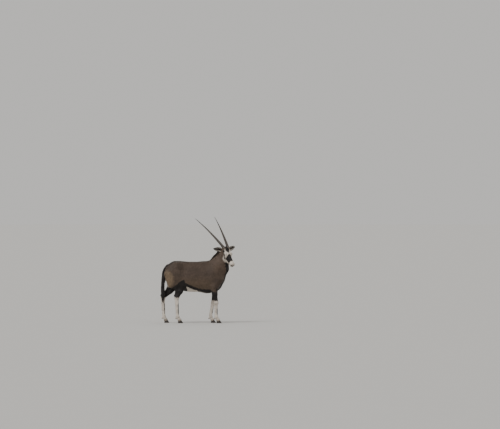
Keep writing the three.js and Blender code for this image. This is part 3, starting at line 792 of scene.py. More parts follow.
def trunk_colours(p):
    """The colours of the trunk and the neck."""
    x, y, z = p.T
    side = np.abs(y)
    ragged = 5 * waves(p, 60, 1) + 4 * waves(p, 18, 2)
    colour = np.tile(FAWN, (len(p), 1))
    colour = painted(colour, NECK_FAWN, ease(x + 0.7 * (z - 900), 420, 640))
    # The lower barrel is painted paler here: painted light that lifts the shade under the body.
    colour = painted(colour, PALE, 0.32 * ease(-z, -960, -780) * ease(-np.abs(x - 60), -420, -200))
    # The flank's stripe starts at the top of the fold between belly and thigh, and its height is an angle round
    # the trunk. Its hind part is stretched to start just before the knee on both sides.
    turn = np.degrees(np.arctan2(z - 880, side + 1e-6))
    stretch = np.where(x < -60, -60 + (x + 60) * 148 / (-60 - (knee_beside(y) - 20)), x)
    stripe = np.interp(stretch, [-330, -237, -178, -60, 57, 136, 332, 500], [-4, -19, -28, -44, -57, -65, -71, -74])
    lower = turn - stripe + ragged * 0.18
    fold = fold_of(y, z)
    at_front = ease(-x, -462, -440) * ease(z, 560, 600)
    belly = ease(-lower, 4, 9) * ease(x - fold, -10, 22) * ease(-x, -470, -400)
    colour = painted(colour, WHITE, belly * at_front)
    thick = np.interp(stretch, [-230, -120, 100, 400], [9.5, 8.0, 8.5, 11.0])
    colour = painted(colour, BLACK, below(np.abs(lower), thick, 1.5) * ease(x - fold, -40, -20) * at_front)
    # Behind, a pale wedge runs down the buttock beside the tail.
    rear = np.interp(z, [640, 706, 800, 916, 1013, 1090], [-490, -422, -380, -374, -428, -520])
    wedge = ease(rear - x + 1.5 * ragged, -34, 30) * ease(z, 630, 700) * ease(-z, -1100, -960)
    colour = painted(colour, PALE, 0.95 * wedge)
    # Along the back a dark line widens over the rump and runs on into the tail.
    wide = np.interp(x, [-560, -470, -380, -250, -60, 260, 420], [60, 74, 74, 44, 20, 14, 11])
    on_back = ease(z + 0.9 * x.clip(-600, -300), 640, 700) * ease(x, -620, -560) * ease(-x, -470, -430)
    top = (z > 1060) | (x < -440)
    colour = painted(colour, BROWN_BLACK, below(side - ragged, wide, 6) * top * on_back)
    # The crest of the neck, the throat and the chest's midline and lower edge are dark.
    crest = [(300, 0, 1200), (400, 0, 1250), (520, -8, 1345), (600, -20, 1440), (640, -60, 1490)]
    on_crest = band(p, crest, [14, 34, 40, 40, 30], 9) * below(side_of_neck(p) - ragged, 26, 5)
    colour = painted(colour, BROWN_BLACK, on_crest)
    brisket = [(605, 0, 820), (570, 0, 740), (470, 0, 640), (380, 0, 590)]
    colour = painted(colour, BLACK, band(p, brisket, [52, 54, 46, 30], 8))
    low_chest = np.interp(x, [430, 500, 550, 585], [664, 694, 742, 820])
    colour = painted(colour, BLACK, below(z - ragged, low_chest, 8) * ease(x, 440, 475))
    return painted(colour, BLACK, throat_stripe(p, ragged))


THROAT_LINE = np.array([(440, 0, 760), (520, 0, 880), (612, -16, 1060), from_head(0, 0, -140)])


def throat_stripe(p, ragged):
    """How far each point is under the black line down the front of the neck, which follows the neck's own turn."""
    _, share = along_line(p, THROAT_LINE)
    stops = np.append(0, np.cumsum(np.linalg.norm(np.diff(THROAT_LINE, axis=0), axis=1)))
    stops /= stops[-1]
    middle = np.stack([np.interp(share, stops, THROAT_LINE[:, i]) for i in range(3)], 1)
    turn = ease(share, 0.2, 0.85)[:, None]
    left = (1 - turn) * (0, 1, 0) + turn * (head_turn @ (0, 1, 0))
    left /= np.linalg.norm(left, axis=1)[:, None]
    front = np.cross(left, (0.3, 0.0, 0.95))
    out = p - middle
    wide = np.interp(share, [0, 0.3, 0.7, 1.0], [56, 54, 44, 36])
    ahead = ease((out * front).sum(1), 10, 50) * ease(p[:, 0], 470, 540)
    return below(np.abs((out * left).sum(1)) - ragged, wide, 7) * ahead


def side_of_neck(p):
    """How far a point is from the plane that halves the neck, which bends towards the head."""
    return np.abs(p[:, 1] - np.interp(p[:, 0], [330, 470, 560, 640, 700], [0, -3, -14, -46, -100]))


def leg_colours(p, colour):
    """The legs' colours over those of the trunk: black above, white below, and a black mark on the cannon's front."""
    x, y, z = p.T
    ragged = 6 * waves(p, 45, 3) + 3 * waves(p, 14, 4)
    for (kind, s), (_, _, spots) in legs.items():
        (jx, jy, jz), (fx, _, fz) = spots["joint"], spots["fetlock"]
        here = (np.sign(y) == s) & (np.abs(x - jx) < 360) & (z < (640 if kind == "fore" else 860))
        inward = s * (jy - y)
        if kind == "fore":
            inner = ease(inward, 2, 14)
            dark = within(z + 0.25 * (x - jx) + ragged, 442, 612, 9) * (1 - 0.3 * inner * ease(z, 560, 600))
            white = ease(-z - ragged, -470, -440)
        else:
            inner = ease(inward, 10, 30)
            from_knee = x - knee_of(s)
            top = np.interp(from_knee, [-260, -200, -110, -20, 20, 60], [655, 700, 768, 836, 850, 850])
            # Below about 700 mm the black also runs round the inside of the gaskin, where the real leg is white: this
            # is painted shade between the hind legs.
            dark = below(z - ragged, top, 9) * ease(z + ragged, 492, 522) * (1 - inner * ease(z, 690, 740))
            dark = dark * below(x, fold_of(y, z) + 34, 10)
            white = ease(-z - ragged, -520, -495) + inner * ease(z, 680, 730) * ease(-z, -800, -740)
        colour = painted(colour, WHITE, white.clip(0, 1) * here)
        colour = painted(colour, BLACK, dark * here)
        shin = jx + (fx - jx) * (jz - z) / (jz - fz)
        taper = within(z + ragged, fz + 46, jz - 90, 50)
        front = ease(x - shin, 4, 14) * ease(28 * taper - 5 - np.abs(y - jy) + 0.5 * ragged, -3, 4)
        colour = painted(colour, BLACK, front * taper * here)
        colour = painted(colour, PALE, 0.6 * ease(-z, -92, -62) * here)
    return colour


def head_colours(q, colour):
    """The head's colours over a colour that the neck gives it."""
    m = right_and_left(q)
    x, side, z = m.T
    ragged = 2.0 * waves(q, 26, 5) + 1.5 * waves(q, 9, 6)
    # The face is white from behind the cheek forwards, with black over the forehead.
    back = np.interp(z, [-170, -120, -90, -60, -20], [74, 70, 62, 38, 2])
    colour = painted(colour, WHITE, ease(x + 0.1 * (z + 60) + ragged - back, -10, 34))
    brow = np.interp(x, [-40, 20, 60, 94, 100], [41, 39, 27, 0, -20])
    colour = painted(colour, BLACK, below(side - ragged, brow, 3) * ease(z, -60, -40) * ease(x, -60, -40))
    # The nose's patch starts in a point between the eyes, spreads down both sides and ends above the muzzle.
    start = 110 + 0.62 * side + 0.16 * (-z - 50).clip(0, 100)
    low_edge = np.interp(x, [140, 180, 260, 290], [-96, -112, -112, -104])
    patch = ease(x - start + ragged, -3, 3) * below(x - ragged, 284 - 0.1 * side, 3)
    colour = painted(colour, BLACK, patch * ease(z - low_edge + ragged, -4, 4))
    # A stripe runs from the horn through the eye to the jaw, and a second one joins it to the nose's patch.
    from_horn = [(-12, 52, -8), (20, 62, -24), (54, 66, -34), (82, 80, -46)]
    to_jaw = [(112, 66, -78), (126, 56, -112), (112, 42, -160), (96, 0, -176)]
    across = [(126, 60, -104), (160, 46, -100), (200, 40, -92), (240, 38, -84)]
    dark = band(m, from_horn + to_jaw, [17, 17, 15, 17, 17, 18, 22, 26], 3.5)
    dark = np.maximum(dark, band(m, across, [14, 13, 17, 24], 3.5))
    colour = painted(colour, BLACK, dark * ease(x, -40, -16))
    # Lids, lips, nose pad and the edges of the nostrils are bare and dark.
    near_eye = (np.linalg.norm(m - EYES[1], axis=1) < 40) & (side > 50)
    colour = painted(colour, BLACK, below(almond(m), 5.5, 1.5) * near_eye)
    off, _ = along_line(q * (1, 0, 1), MOUTH)
    colour = painted(colour, BLACK, 0.9 * below(off, 3.2, 1.4) * (x > 252))
    pad = ease(x - 344, -4, 6) * below(side, 23, 4) * within(z, -98, -66, 5)
    colour = painted(colour, NOSE_PAD, pad)
    off, share = along_nostril(m)
    return painted(colour, NOSTRIL_EDGE, below(off, mix(9.0, 6.0, share), 2) * (x > 300))


def near_head(p):
    return np.linalg.norm(into_head(p) - (140, 0, -80), axis=1) < 330


def on_skull(p):
    """1 on the head itself and 0 on the neck beside it."""
    q = into_head(p)
    return ease(-skull(q), -26, -8) * ease(q[:, 0], -60, -30)


def markings(p):
    """The coat's colour at places on the body, in the body's millimetres."""
    colour = leg_colours(p, trunk_colours(p))
    q = into_head(p)
    head = (q[:, 0] > -70) & near_head(p)
    colour[head] = painted(colour[head], head_colours(q[head], colour[head]), on_skull(p[head]))
    # No coat is quite even: its tone changes a little over hands, fingers and single clumps.
    tone = 1 + 0.07 * waves(p, 160, 7) + 0.05 * waves(p, 35, 8) + 0.05 * waves(p, 7, 9)
    return (colour * tone.clip(0.7, 1.3)[:, None]).clip(0.004, 0.85)


def paint(mesh, colours):
    """Stores one colour for each vertex as the attribute that the coat's materials read."""
    layer = mesh.color_attributes.new("coat", "FLOAT_COLOR", "POINT")
    layer.data.foreach_set("color", np.hstack([colours, np.ones((len(colours), 1))]).ravel())


paint(skin_mesh, in_parts(markings, into_body(vertices_of(skin_mesh))))
skin_mesh.polygons.foreach_set("use_smooth", np.ones(len(skin_mesh.polygons), bool))


# Every finish that grew (hair, horn, hoof and skin) shows its painted colour through fine strands that run along it.
def step_node(tree, kind, operation, *inputs):
    """A node that works on values, from other nodes' sockets or given as numbers."""
    node = tree.nodes.new(kind)
    node.operation = operation
    for socket, value in inputs:
        if isinstance(value, float):
            node.inputs[socket].default_value = value
        else:
            tree.links.new(value, node.inputs[socket])
    return node


def noise_node(tree, scale, detail, vector):
    node = tree.nodes.new("ShaderNodeTexNoise")
    node.inputs["Scale"].default_value = scale
    node.inputs["Detail"].default_value = detail
    tree.links.new(vector, node.inputs["Vector"])
    return node.outputs["Fac"]


def painted_colour(tree):
    node = tree.nodes.new("ShaderNodeVertexColor")
    node.layer_name = "coat"
    return node.outputs["Color"]


def strands_group():
    """Puts out the painted colour darkened and lightened by strands, and the strands' own height."""
    group = bpy.data.node_groups.new("strands", "ShaderNodeTree")
    group.interface.new_socket("Stretch", in_out="INPUT", socket_type="NodeSocketVector")
    group.interface.new_socket("Contrast", in_out="INPUT", socket_type="NodeSocketFloat")
    group.interface.new_socket("Colour", in_out="OUTPUT", socket_type="NodeSocketColor")
    group.interface.new_socket("Height", in_out="OUTPUT", socket_type="NodeSocketFloat")
    given, made = group.nodes.new("NodeGroupInput"), group.nodes.new("NodeGroupOutput")
    place = group.nodes.new("ShaderNodeTexCoord").outputs["Object"]
    stretch, contrast = given.outputs["Stretch"], given.outputs["Contrast"]
    drawn = step_node(group, "ShaderNodeVectorMath", "MULTIPLY", (0, place), (1, stretch)).outputs["Vector"]
    fine = noise_node(group, 55.0, 3.0, drawn)
    broad = noise_node(group, 9.0, 2.0, drawn)
    both = step_node(group, "ShaderNodeMath", "ADD", (0, fine), (1, broad)).outputs["Value"]
    off = step_node(group, "ShaderNodeMath", "SUBTRACT", (0, both), (1, 1.0)).outputs["Value"]
    gain = step_node(group, "ShaderNodeMath", "MULTIPLY_ADD", (0, off), (1, contrast), (2, 1.0)).outputs["Value"]
    shade = step_node(group, "ShaderNodeVectorMath", "SCALE", (0, painted_colour(group)), ("Scale", gain))
    group.links.new(shade.outputs["Vector"], made.inputs["Colour"])
    group.links.new(fine, made.inputs["Height"])
    return group


strands = strands_group()


def grown_material(name, stretch, contrast, rough, relief, **values):
    """A finish made of strands: how they stretch on each axis, their contrast, their roughness and their relief."""
    material, tree, shader = principled(name, Roughness=rough, **values)
    node = tree.nodes.new("ShaderNodeGroup")
    node.node_tree = strands
    node.inputs["Stretch"].default_value = stretch
    node.inputs["Contrast"].default_value = contrast
    tree.links.new(node.outputs["Colour"], shader.inputs["Base Color"])
    bump = tree.nodes.new("ShaderNodeBump")
    bump.inputs["Strength"].default_value = relief
    bump.inputs["Distance"].default_value = MM
    tree.links.new(node.outputs["Height"], bump.inputs["Height"])
    tree.links.new(bump.outputs["Normal"], shader.inputs["Normal"])
    return material


skin_mesh.materials.append(grown_material("hide", (1.6, 7.0, 2.6), 0.7, 0.72, 0.35, Specular_IOR_Level=0.28))
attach(skin, "root")
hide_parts(*FLESH_NODES)

# Coat
# The hair is short and glossy and lies flat in small clumps that lap one another like tiles, from the nose back over
# the body and down the legs. It is shortest on the face and feet. Each clump is a thin leaf of three faces.
LEAF = np.array([(0, 1, 3), (0, 3, 2), (2, 3, 4)])  # two corners at the root, two in the middle and the point
LEAF_TONE = np.array((0.74, 0.74, 1.0, 1.0, 1.1))  # darker in the shade at the root, paler at the point
LEAF_PATCH = np.array([(-1, -1), (1, -1), (-1, 0), (1, 0), (0, 1)]) * 0.0015
COVER = 0.74  # clumps on a square of the clumps' own width
hair_material = grown_material("hair", (2.0, 6.0, 3.0), 0.5, 0.6, 0.2, Specular_IOR_Level=0.35, Sheen_Weight=0.1)


def unit(v):
    return v / np.maximum(np.linalg.norm(v, axis=1), 1e-9)[:, None]


def flat_to(ways, ups):
    """Ways turned to lie square to the ups beside them."""
    return unit(ways - (ways * ups).sum(1)[:, None] * ups)


def lie_of_coat(p):
    """The way that the hair points at places on the body."""
    x, _, z = p.T
    way = np.tile((-1.0, 0.0, -0.28), (len(p), 1))
    way += ease(-x, 420, 520)[:, None] * (0.4, 0, -1.2)
    way += (ease(x + 0.9 * (z - 1150), 420, 560) * ease(z, 700, 900))[:, None] * (0.25, 0, -0.9)
    down = ease(-z, -760, -640)[:, None]
    way = way * (1 - down) + down * (-0.15, 0, -1.0)
    q = into_head(p)
    back = np.stack([-np.ones(len(q)), 0 * q[:, 1], -0.25 * ease(q[:, 0], 0, 200)], 1) @ head_turn.T
    share = (near_head(p) * on_skull(p) * ease(q[:, 0], -40, 30))[:, None]
    return way * (1 - share) + back * share


def clump_sizes(p):
    """Length, width and height of the clumps at places on the body."""
    face = ease(into_head(p)[:, 0], -30, 120) * near_head(p) * on_skull(p)
    leg = ease(-p[:, 2], -640, -420)
    foot_top = ease(-p[:, 2], -120, -60)
    long = mix(mix(mix(21.0, 12.0, leg), 15.0, foot_top), 7.5, face)
    wide = mix(mix(3.6, 2.5, leg), 1.7, face)
    high = mix(mix(mix(4.4, 2.6, leg), 3.4, foot_top), 1.5, face)
    return long, wide, high


def roots_on(mesh, density, seed):
    """Seeded places on a mesh and their normals, as many to the square millimetre as a density gives."""
    mesh.calc_loop_triangles()
    corners = np.empty(len(mesh.loop_triangles) * 3, int)
    mesh.loop_triangles.foreach_get("vertices", corners)
    corners = corners.reshape(-1, 3)
    at, normals = into_body(vertices_of(mesh)), normals_of(mesh)
    a, b, c = at[corners[:, 0]], at[corners[:, 1]], at[corners[:, 2]]
    size = np.linalg.norm(np.cross(b - a, c - a), axis=1) / 2
    draw = np.random.default_rng(seed)
    chosen = np.repeat(np.arange(len(size)), draw.poisson(size * density((a + b + c) / 3)))
    share = np.sort(draw.random((len(chosen), 2)), axis=1)
    weights = np.stack([share[:, 0], share[:, 1] - share[:, 0], 1 - share[:, 1]], 1)[:, :, None]
    return (at[corners[chosen]] * weights).sum(1), unit((normals[corners[chosen]] * weights).sum(1)), draw


def leaves_of_hair(name, roots, ways, ups, sizes, colours, spots, draw, unruly=0.14):
    """One mesh of thin leaves: each starts under the skin, is widest before its middle and ends in a point."""
    count = len(roots)
    across = np.cross(ups, ways)
    turn = draw.normal(0, unruly, count)[:, None]
    ways, across = unit(ways + turn * across), unit(across - turn * ways)
    long = sizes[0] * draw.uniform(0.75, 1.2, count)
    half = across * (sizes[1] * draw.uniform(0.375, 0.625, count))[:, None]
    lift = ups * (sizes[2] * draw.uniform(0.6, 1.15, count))[:, None]
    tilt = ups * (sizes[1] * draw.normal(0, 0.08, count))[:, None]
    reach = ways * long[:, None]
    start = roots - 0.12 * reach - 0.6 * ups
    middle = roots + 0.4 * reach + 0.62 * lift
    corners = [start - 0.6 * half, start + 0.6 * half, middle - half - tilt, middle + half + tilt]
    points = np.stack([*corners, roots + 0.94 * reach + lift], 1)
    faces = (LEAF + 5 * np.arange(count)[:, None, None]).reshape(-1, 3)
    made = mesh_object(name, into_world(points.reshape(-1, 3)), faces)
    tone = draw.normal(1.0, 0.075, count).clip(0.8, 1.25)[:, None, None] * LEAF_TONE[:, None]
    paint(made.data, (colours[:, None] * tone).clip(0.003, 0.95).reshape(-1, 3))
    uv = (spots[:, None] * 0.99 + 0.005 + LEAF_PATCH).reshape(-1, 2)
    made.data.uv_layers.new(name="OFBake").uv.foreach_set("vector", uv[faces.ravel()].ravel())
    made.data.materials.append(hair_material)
    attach(made, "root")
    return made


def turn_about(p, middle, axis, up):
    """The share of a whole turn at which points lie about an axis, and how far along it they are."""
    axis = np.array(axis, float) / np.linalg.norm(axis)
    up = np.array(up, float) - (np.array(up) @ axis) * axis
    off = p - np.array(middle)
    return np.arctan2(off @ np.cross(axis, up), off @ up) / (2 * pi) + 0.5, off @ axis


def unwrap(p, region):
    """Where a place falls on the flat pattern of its own region of the skin, mostly from 0 to 1 each way."""
    if region == "head":
        around, along = turn_about(into_head(p), (0, 0, -80), (1, 0, 0), (0, 0, -1))
        return np.stack([(along + 120) / 520, around], 1)
    if region == "neck":
        around, along = turn_about(p, (430, 0, 1050), (0.45, -0.08, 0.88), (1, 0, 0))
        return np.stack([(along + 420) / 920, around], 1)
    if region.endswith("side"):
        around, along = turn_about(p, (0, 0, 890), (1, 0, 0), (0, 0, -1))
        return np.stack([(along + 640) / 1320, (2 * around) % 1], 1)
    spots = {s: legs[region[:4], s][2] for s in (-1, 1)}
    middle = {s: (spots[s]["joint"][0] + spots[s]["fetlock"][0]) / 2 for s in (-1, 1)}
    left = p[:, 1] > 0
    around = np.arctan2(np.abs(p[:, 1]) - 1000 * STANCE, p[:, 0] - np.where(left, middle[1], middle[-1]))
    return np.stack([(around / (2 * pi) + 0.5 + left) / 2, p[:, 2] / 900], 1)


def region_of(p):
    """The region of the coat that each place belongs to."""
    q = into_head(p)
    low = p[:, 2] < np.where(p[:, 0] > 0, 660, 720)
    leg = low & (np.abs(p[:, 1]) > 36) & ((p[:, 0] > 230) | (p[:, 0] < -120) | (p[:, 2] < 560))
    names = np.where(p[:, 1] < 0, "right side", "left side").astype("U12")
    names[p[:, 0] + 0.45 * (p[:, 2] - 900) > 470] = "neck"
    names[leg & (p[:, 0] > 0)] = "forelegs"
    names[leg & (p[:, 0] <= 0)] = "hindlegs"
    names[(q[:, 0] > -30) & near_head(p) & (on_skull(p) > 0.3)] = "head"
    return names


def coat_density(p):
    """Clumps to the square millimetre: none on the eyes, in the nostrils, along the lips and under the hooves' tops."""
    q = right_and_left(into_head(p))
    bare = (almond(q) < 3.5) & (np.linalg.norm(q - EYES[1], axis=1) < 26)
    bare |= (along_nostril(q)[0] < 6.5) & (q[:, 0] > 300)
    bare |= (along_line(q * (1, 0, 1), MOUTH)[0] < 2.2) & (q[:, 0] > 250)
    return np.where(bare | (p[:, 2] < HOOF_TOP - 6), 0.0, COVER / clump_sizes(p)[1] ** 2)


roots, ups, draw = roots_on(skin_mesh, coat_density, 11)
ways = flat_to(lie_of_coat(roots), ups)
sizes = np.stack(clump_sizes(roots))
colours = in_parts(markings, roots)
regions = region_of(roots)
for region in ("head", "neck", "right side", "left side", "forelegs", "hindlegs"):
    on = regions == region
    name = f"coat_{region.replace(' ', '_')}"
    spots = unwrap(roots[on], region)
    clumps = leaves_of_hair(name, roots[on], ways[on], ups[on], sizes[:, on], colours[on], spots, draw)

# Horns
# Each horn is a hollow sheath of keratin over a bone core, almost straight. The lower part carries closely set raised
# rings, a little uneven and worn pale on their edges, and the upper part is smooth and dark to its point.
HORN = 1040.0
HORN_BASE = 29.0
HORN_TIP = 3.5
HORN_STEPS = 400
HORN_SIDES = 44
HORN_RINGS = 24
RINGED = 0.6  # of the horn's length
RING_HEIGHT = 2.8
HORN_RISE = -1  # degrees, at the root
HORN_BEND = -13  # degrees more at the tip
HORN_SPLAY = radians(10)
HORN_DARK = linear(43, 36, 32)
HORN_WORN = linear(80, 69, 58)
HORN_NEW = linear(74, 62, 50) * 0.4


def walls_between(rows, sides):
    """Four-sided faces between closed rings of points."""
    j = np.arange(sides)
    after = (j + 1) % sides
    first = sides * np.arange(rows - 1)[:, None]
    return np.stack([first + j, first + after, first + after + sides, first + j + sides], -1).reshape(-1, 4)


def fans_at_ends(rows, sides):
    """Faces from the first and the last ring to two points that are listed after all the rings."""
    j = np.arange(sides)
    after = (j + 1) % sides
    last = sides * (rows - 1)
    tip = np.full(sides, sides * rows)
    return np.vstack([np.stack([j, after, tip], 1), np.stack([last + after, last + j, tip + 1], 1)]).tolist()


def closed_mesh(name, points, faces):
    """A closed object through places on the body, with its faces turned outwards."""
    made = mesh_object(name, into_world(points), faces)
    work = bmesh.new()
    work.from_mesh(made.data)
    bmesh.ops.recalc_face_normals(work, faces=work.faces)
    work.to_mesh(made.data)
    work.free()
    return made


def tube_mesh(name, centres, left, up, radii):
    """A closed tube of rings about a line, with a radius for each ring and place round it."""
    rows, sides = radii.shape
    turn = 2 * pi * np.arange(sides) / sides
    spokes = np.sin(turn)[:, None] * left[:, None] + np.cos(turn)[:, None] * up[:, None]
    points = (centres[:, None] + spokes * radii[:, :, None]).reshape(-1, 3)
    faces = walls_between(rows, sides)[:, ::-1].tolist() + fans_at_ends(rows, sides)
    return closed_mesh(name, np.vstack([points, centres[0], centres[-1]]), faces)


def square_to(centres, side):
    """The left and up of rings that stand square to a line."""
    along = unit(np.gradient(centres, axis=0))
    left = flat_to(np.tile(np.array(side, float), (len(centres), 1)), along)
    return left, np.cross(along, left), along


horn_material = grown_material("horn", (9.0, 9.0, 1.6), 0.9, 0.42, 0.5, Specular_IOR_Level=0.5)
for word, s in SIDES.items():
    t = np.linspace(0, 1, HORN_STEPS + 1)
    rise = np.radians(HORN_RISE + HORN_BEND * t)
    sideways = np.full(HORN_STEPS + 1, s * sin(HORN_SPLAY))
    way = np.stack([-cos(HORN_SPLAY) * np.cos(rise), sideways, cos(HORN_SPLAY) * np.sin(rise)], 1)
    run = np.vstack([(0, 0, 0), np.cumsum(way[:-1], axis=0)]) * HORN / HORN_STEPS
    centres = from_head_all(np.array((-10, s * 37, 4)) + run)
    left, up, _ = square_to(centres, head_turn @ (0, 1, 0))
    # The rings are a little tilted and their spaces a little uneven.
    turn = 2 * pi * np.arange(HORN_SIDES) / HORN_SIDES
    draw = np.random.default_rng(20 + s)
    uneven = draw.uniform(-0.012, 0.012, HORN_RINGS + 2)
    drift = np.interp(t * HORN_RINGS / RINGED, range(HORN_RINGS + 2), uneven)[:, None] * 0.5
    place = t[:, None] + 0.004 * np.cos(turn - 0.6) + drift
    ridge = np.sin(pi * (place * HORN_RINGS / RINGED)).clip(-1, 1) ** 2
    fade = ease(RINGED + 0.02 - t, -0.02, 0.1)[:, None]
    rings = RING_HEIGHT * (ridge**0.7 - 0.35) * fade * (1 - 0.8 * t[:, None])
    radii = mix(HORN_BASE, HORN_TIP, t**0.92)[:, None] + rings
    grain = 0.25 * np.sin(17 * turn + 3 * np.sin(2 * turn)) * (1 - t[:, None]) * 0.6
    radii = radii * (1 + 0.012 * np.cos(2 * turn)) + grain
    radii[-3:] *= np.array((0.9, 0.72, 0.4))[:, None]
    horn = tube_mesh(f"horn_{word}_sheath", centres, left, up, radii)
    shade = HORN_DARK + (HORN_WORN - HORN_DARK) * (ridge**3 * fade)[:, :, None]
    to_tip = 1 - 0.45 * ease(t, 0.55, 0.8)
    shade = shade * to_tip[:, None, None] + HORN_NEW * ease(-t, -0.06, 0.0)[:, None, None]
    paint(horn.data, np.vstack([shade.reshape(-1, 3), shade[0, 0], shade[-1, 0]]))
    horn.data.materials.append(horn_material)
    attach(horn, "root")
    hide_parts(f"horn_{word}")

# Ears
# Each ear is a cupped leaf of gristle covered with skin, fawn outside with a black edge and tip, and white inside,
# with long white hairs that reach in from both edges.
EAR = 190.0
EAR_ROWS = 56
EAR_COLUMNS = 25
EAR_HOLLOW_SHADE = linear(44, 35, 31)


def ear_frame(s):
    """An ear's own ways in the head's frame: out to its tip, the way its hollow faces, and across."""
    out = unit(np.array([(-0.26, s * 0.94, 0.02)]))
    facing = flat_to(np.array([(0.72, s * 0.2, 0.6)]), out)
    return out[0], facing[0], np.cross(out[0], facing[0])


def ear_point(s, t, a, inner):
    """A place on the ear in the head's frame: t from root to tip, a from edge to edge, on its inner or outer face."""
    out, facing, across = ear_frame(s)
    wide = 3 + 41 * np.sin(pi * mix(0.14, 0.985, t)) ** 0.8
    deep = mix(28, 12, t) * ease(t, -0.6, 0.25)
    thick = mix(5.5, 2.2, t) * (1 - 0.6 * np.abs(a) ** 6)
    lift = np.where(inner, mix(0.6 * deep, -deep, ease(t, 0.04, 0.3)), -deep)
    bow = lift * (1 - a * a) + np.where(inner, thick / 2, -thick / 2) - 16 * t * t
    bow = bow + 1.6 * np.sin(9 * a + 2 * t) * np.sin(pi * t) * inner
    root = np.array((-38, s * 60, -40))
    spread = wide * a * np.where(inner, 0.96, 1.0)
    return root + out * mix(-14, EAR, t)[..., None] + across * spread[..., None] + facing * bow[..., None]


def ear_colours(t, a, inner, seed):
    """The ear's colours from root to tip and from edge to edge, on its inner or outer face."""
    ragged = 0.05 * waves(np.stack([t * 190, a * 44, 0 * t], 1), 30, seed)
    edge = np.abs(a) + ragged
    outside = painted(np.tile(NECK_FAWN, (len(t), 1)), PALE, 0.5 * ease(-t, -0.5, -0.1))
    # The white inside is painted dimmer and the cupped hollow painted dark: painted shade inside the ear.
    hollow = below(edge, 0.56, 0.1) * ease(t, 0.02, 0.12)
    inside = painted(np.tile(WHITE * 0.66, (len(t), 1)), EAR_HOLLOW_SHADE, hollow)
    colour = np.where(inner[:, None], inside, outside)
    colour = painted(colour, BLACK, ease(edge, 0.84, 0.93) * ease(t, 0.3, 0.5))
    return painted(colour, BLACK, ease(t + 0.6 * ragged, 0.8, 0.88))


def blade_of_rings(name, rings, flat_ends=True):
    """A closed mesh through rings of points, with one face at each end."""
    rows, sides, _ = rings.shape
    ends = [list(range(sides))[::-1], list(range(sides * (rows - 1), sides * rows))]
    made = closed_mesh(name, rings.reshape(-1, 3), walls_between(rows, sides).tolist() + ends)
    if flat_ends:
        made.data.polygons.foreach_set("use_smooth", [len(f.vertices) == 4 for f in made.data.polygons])
    return made


ear_material = grown_material("ear_skin", (3.0, 5.0, 5.0), 0.5, 0.62, 0.3, Specular_IOR_Level=0.3)
for word, s in SIDES.items():
    t, a = np.meshgrid(np.linspace(0, 1, EAR_ROWS), np.linspace(-1, 1, EAR_COLUMNS), indexing="ij")
    inner = np.zeros_like(t, bool)
    # Each ring runs over the outer face and back over the inner one.
    ring_t, ring_a = np.hstack([t, t]), np.hstack([a, a[:, ::-1]])
    ring_inner = np.hstack([inner, ~inner])
    points = from_head_all(ear_point(s, ring_t, ring_a, ring_inner).reshape(-1, 3))
    ear = blade_of_rings(f"ear_{word}_leaf", points.reshape(EAR_ROWS, -1, 3), flat_ends=False)
    paint(ear.data, ear_colours(ring_t.ravel(), ring_a.ravel(), ring_inner.ravel(), 31 + s))
    ear.data.materials.append(ear_material)
    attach(ear, "root")
    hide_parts(f"ear_{word}")
    # Hair: short clumps outside, fine ones inside and long fringes along the inner edges.
    draw = np.random.default_rng(40 + s)
    out, facing, across = ear_frame(s)
    kinds = [  # count, t from and to, edge from and to, inside, length, width, height
        (5200, 0.0, 1.0, 0.0, 1.0, False, 9.0, 1.7, 1.6),
        (2600, 0.12, 0.97, 0.0, 0.85, True, 9.0, 1.5, 1.6),
        (800, 0.04, 0.86, 0.66, 0.98, True, 21.0, 1.4, 7.0),
        (700, 0.25, 0.99, 0.9, 1.0, False, 11.0, 1.5, 2.4),
    ]
    step = 0.01
    parts = []
    for count, t0, t1, a0, a1, inside, long, wide, high in kinds:
        t = draw.uniform(t0, t1, count)
        a = draw.uniform(a0, a1, count) * draw.choice((-1.0, 1.0), count)
        inside = np.full(count, inside)
        at = ear_point(s, t, a, inside)
        du = ear_point(s, t + step, a, inside) - at
        dv = ear_point(s, t, a + step, inside) - at
        up = unit(np.cross(du, dv))
        up *= np.sign((up @ facing) * np.where(inside, 1, -1))[:, None]
        way = unit(du) - (0.5 if long > 20 else 0.0) * np.sign(a)[:, None] * unit(dv)
        parts.append((at, flat_to(way, up), up, t, a, inside, np.tile((long, wide, high), (count, 1))))
    at, way, up, t, a, inside, size = [np.concatenate(column) for column in zip(*parts)]
    spots = np.stack([t, (a + 1) / 4 + 0.5 * inside], 1)
    size[:, 0] *= 1 - 0.45 * (t > 0.9)
    hair = leaves_of_hair(
        f"ear_{word}_hair", from_head_all(at), way @ head_turn.T, up @ head_turn.T, size.T,
        ear_colours(t, a, inside, 31 + s), spots, draw, 0.2,
    )

# Eyes
# Large dark eyes sit at the side of the head: a wet ball with a slightly bulging cornea, a brown iris and a long
# level pupil. A black rim of bare skin lies on it all round, and stiff dark lashes hang from the upper lid.
IRIS = 14.0
PUPIL = (8.5, 4.2)
RIM_AT = EYE_RADIUS + 1.3
EYE_STEPS = 72
LID_STEPS = 40
LASHES = 90
IRIS_COLOUR = linear(42, 28, 19)
IRIS_EDGE = linear(18, 12, 9)
PUPIL_COLOUR = linear(5, 4, 4)
EYE_MIDDLE = linear(6, 5, 5)
EYE_WHITE = linear(58, 44, 36)
RIM_COLOUR = linear(26, 21, 20)


def eye_turn(u, v):
    """Places along and across the opening as distances forwards and up."""
    return u * cos(EYE_LEAN) + v * sin(EYE_LEAN), v * cos(EYE_LEAN) - u * sin(EYE_LEAN)


def on_ball(s, u, v, r):
    """A point over the eye at a distance along and across its opening, on a ball of radius r."""
    x, z = eye_turn(u, v)
    return EYES[s] + np.stack([x, s * np.sqrt(np.maximum(r * r - x * x - z * z, 0)), z], 1)


def lid_line(arch, count):
    """The lid's edge as places along and across the opening, from corner to corner."""
    u = EYE_LONG * np.sin(np.linspace(-pi / 2, pi / 2, count))
    bow = (EYE_LONG**2 + arch**2) / (2 * arch)
    return u, arch - bow + np.sqrt(bow**2 - u**2)


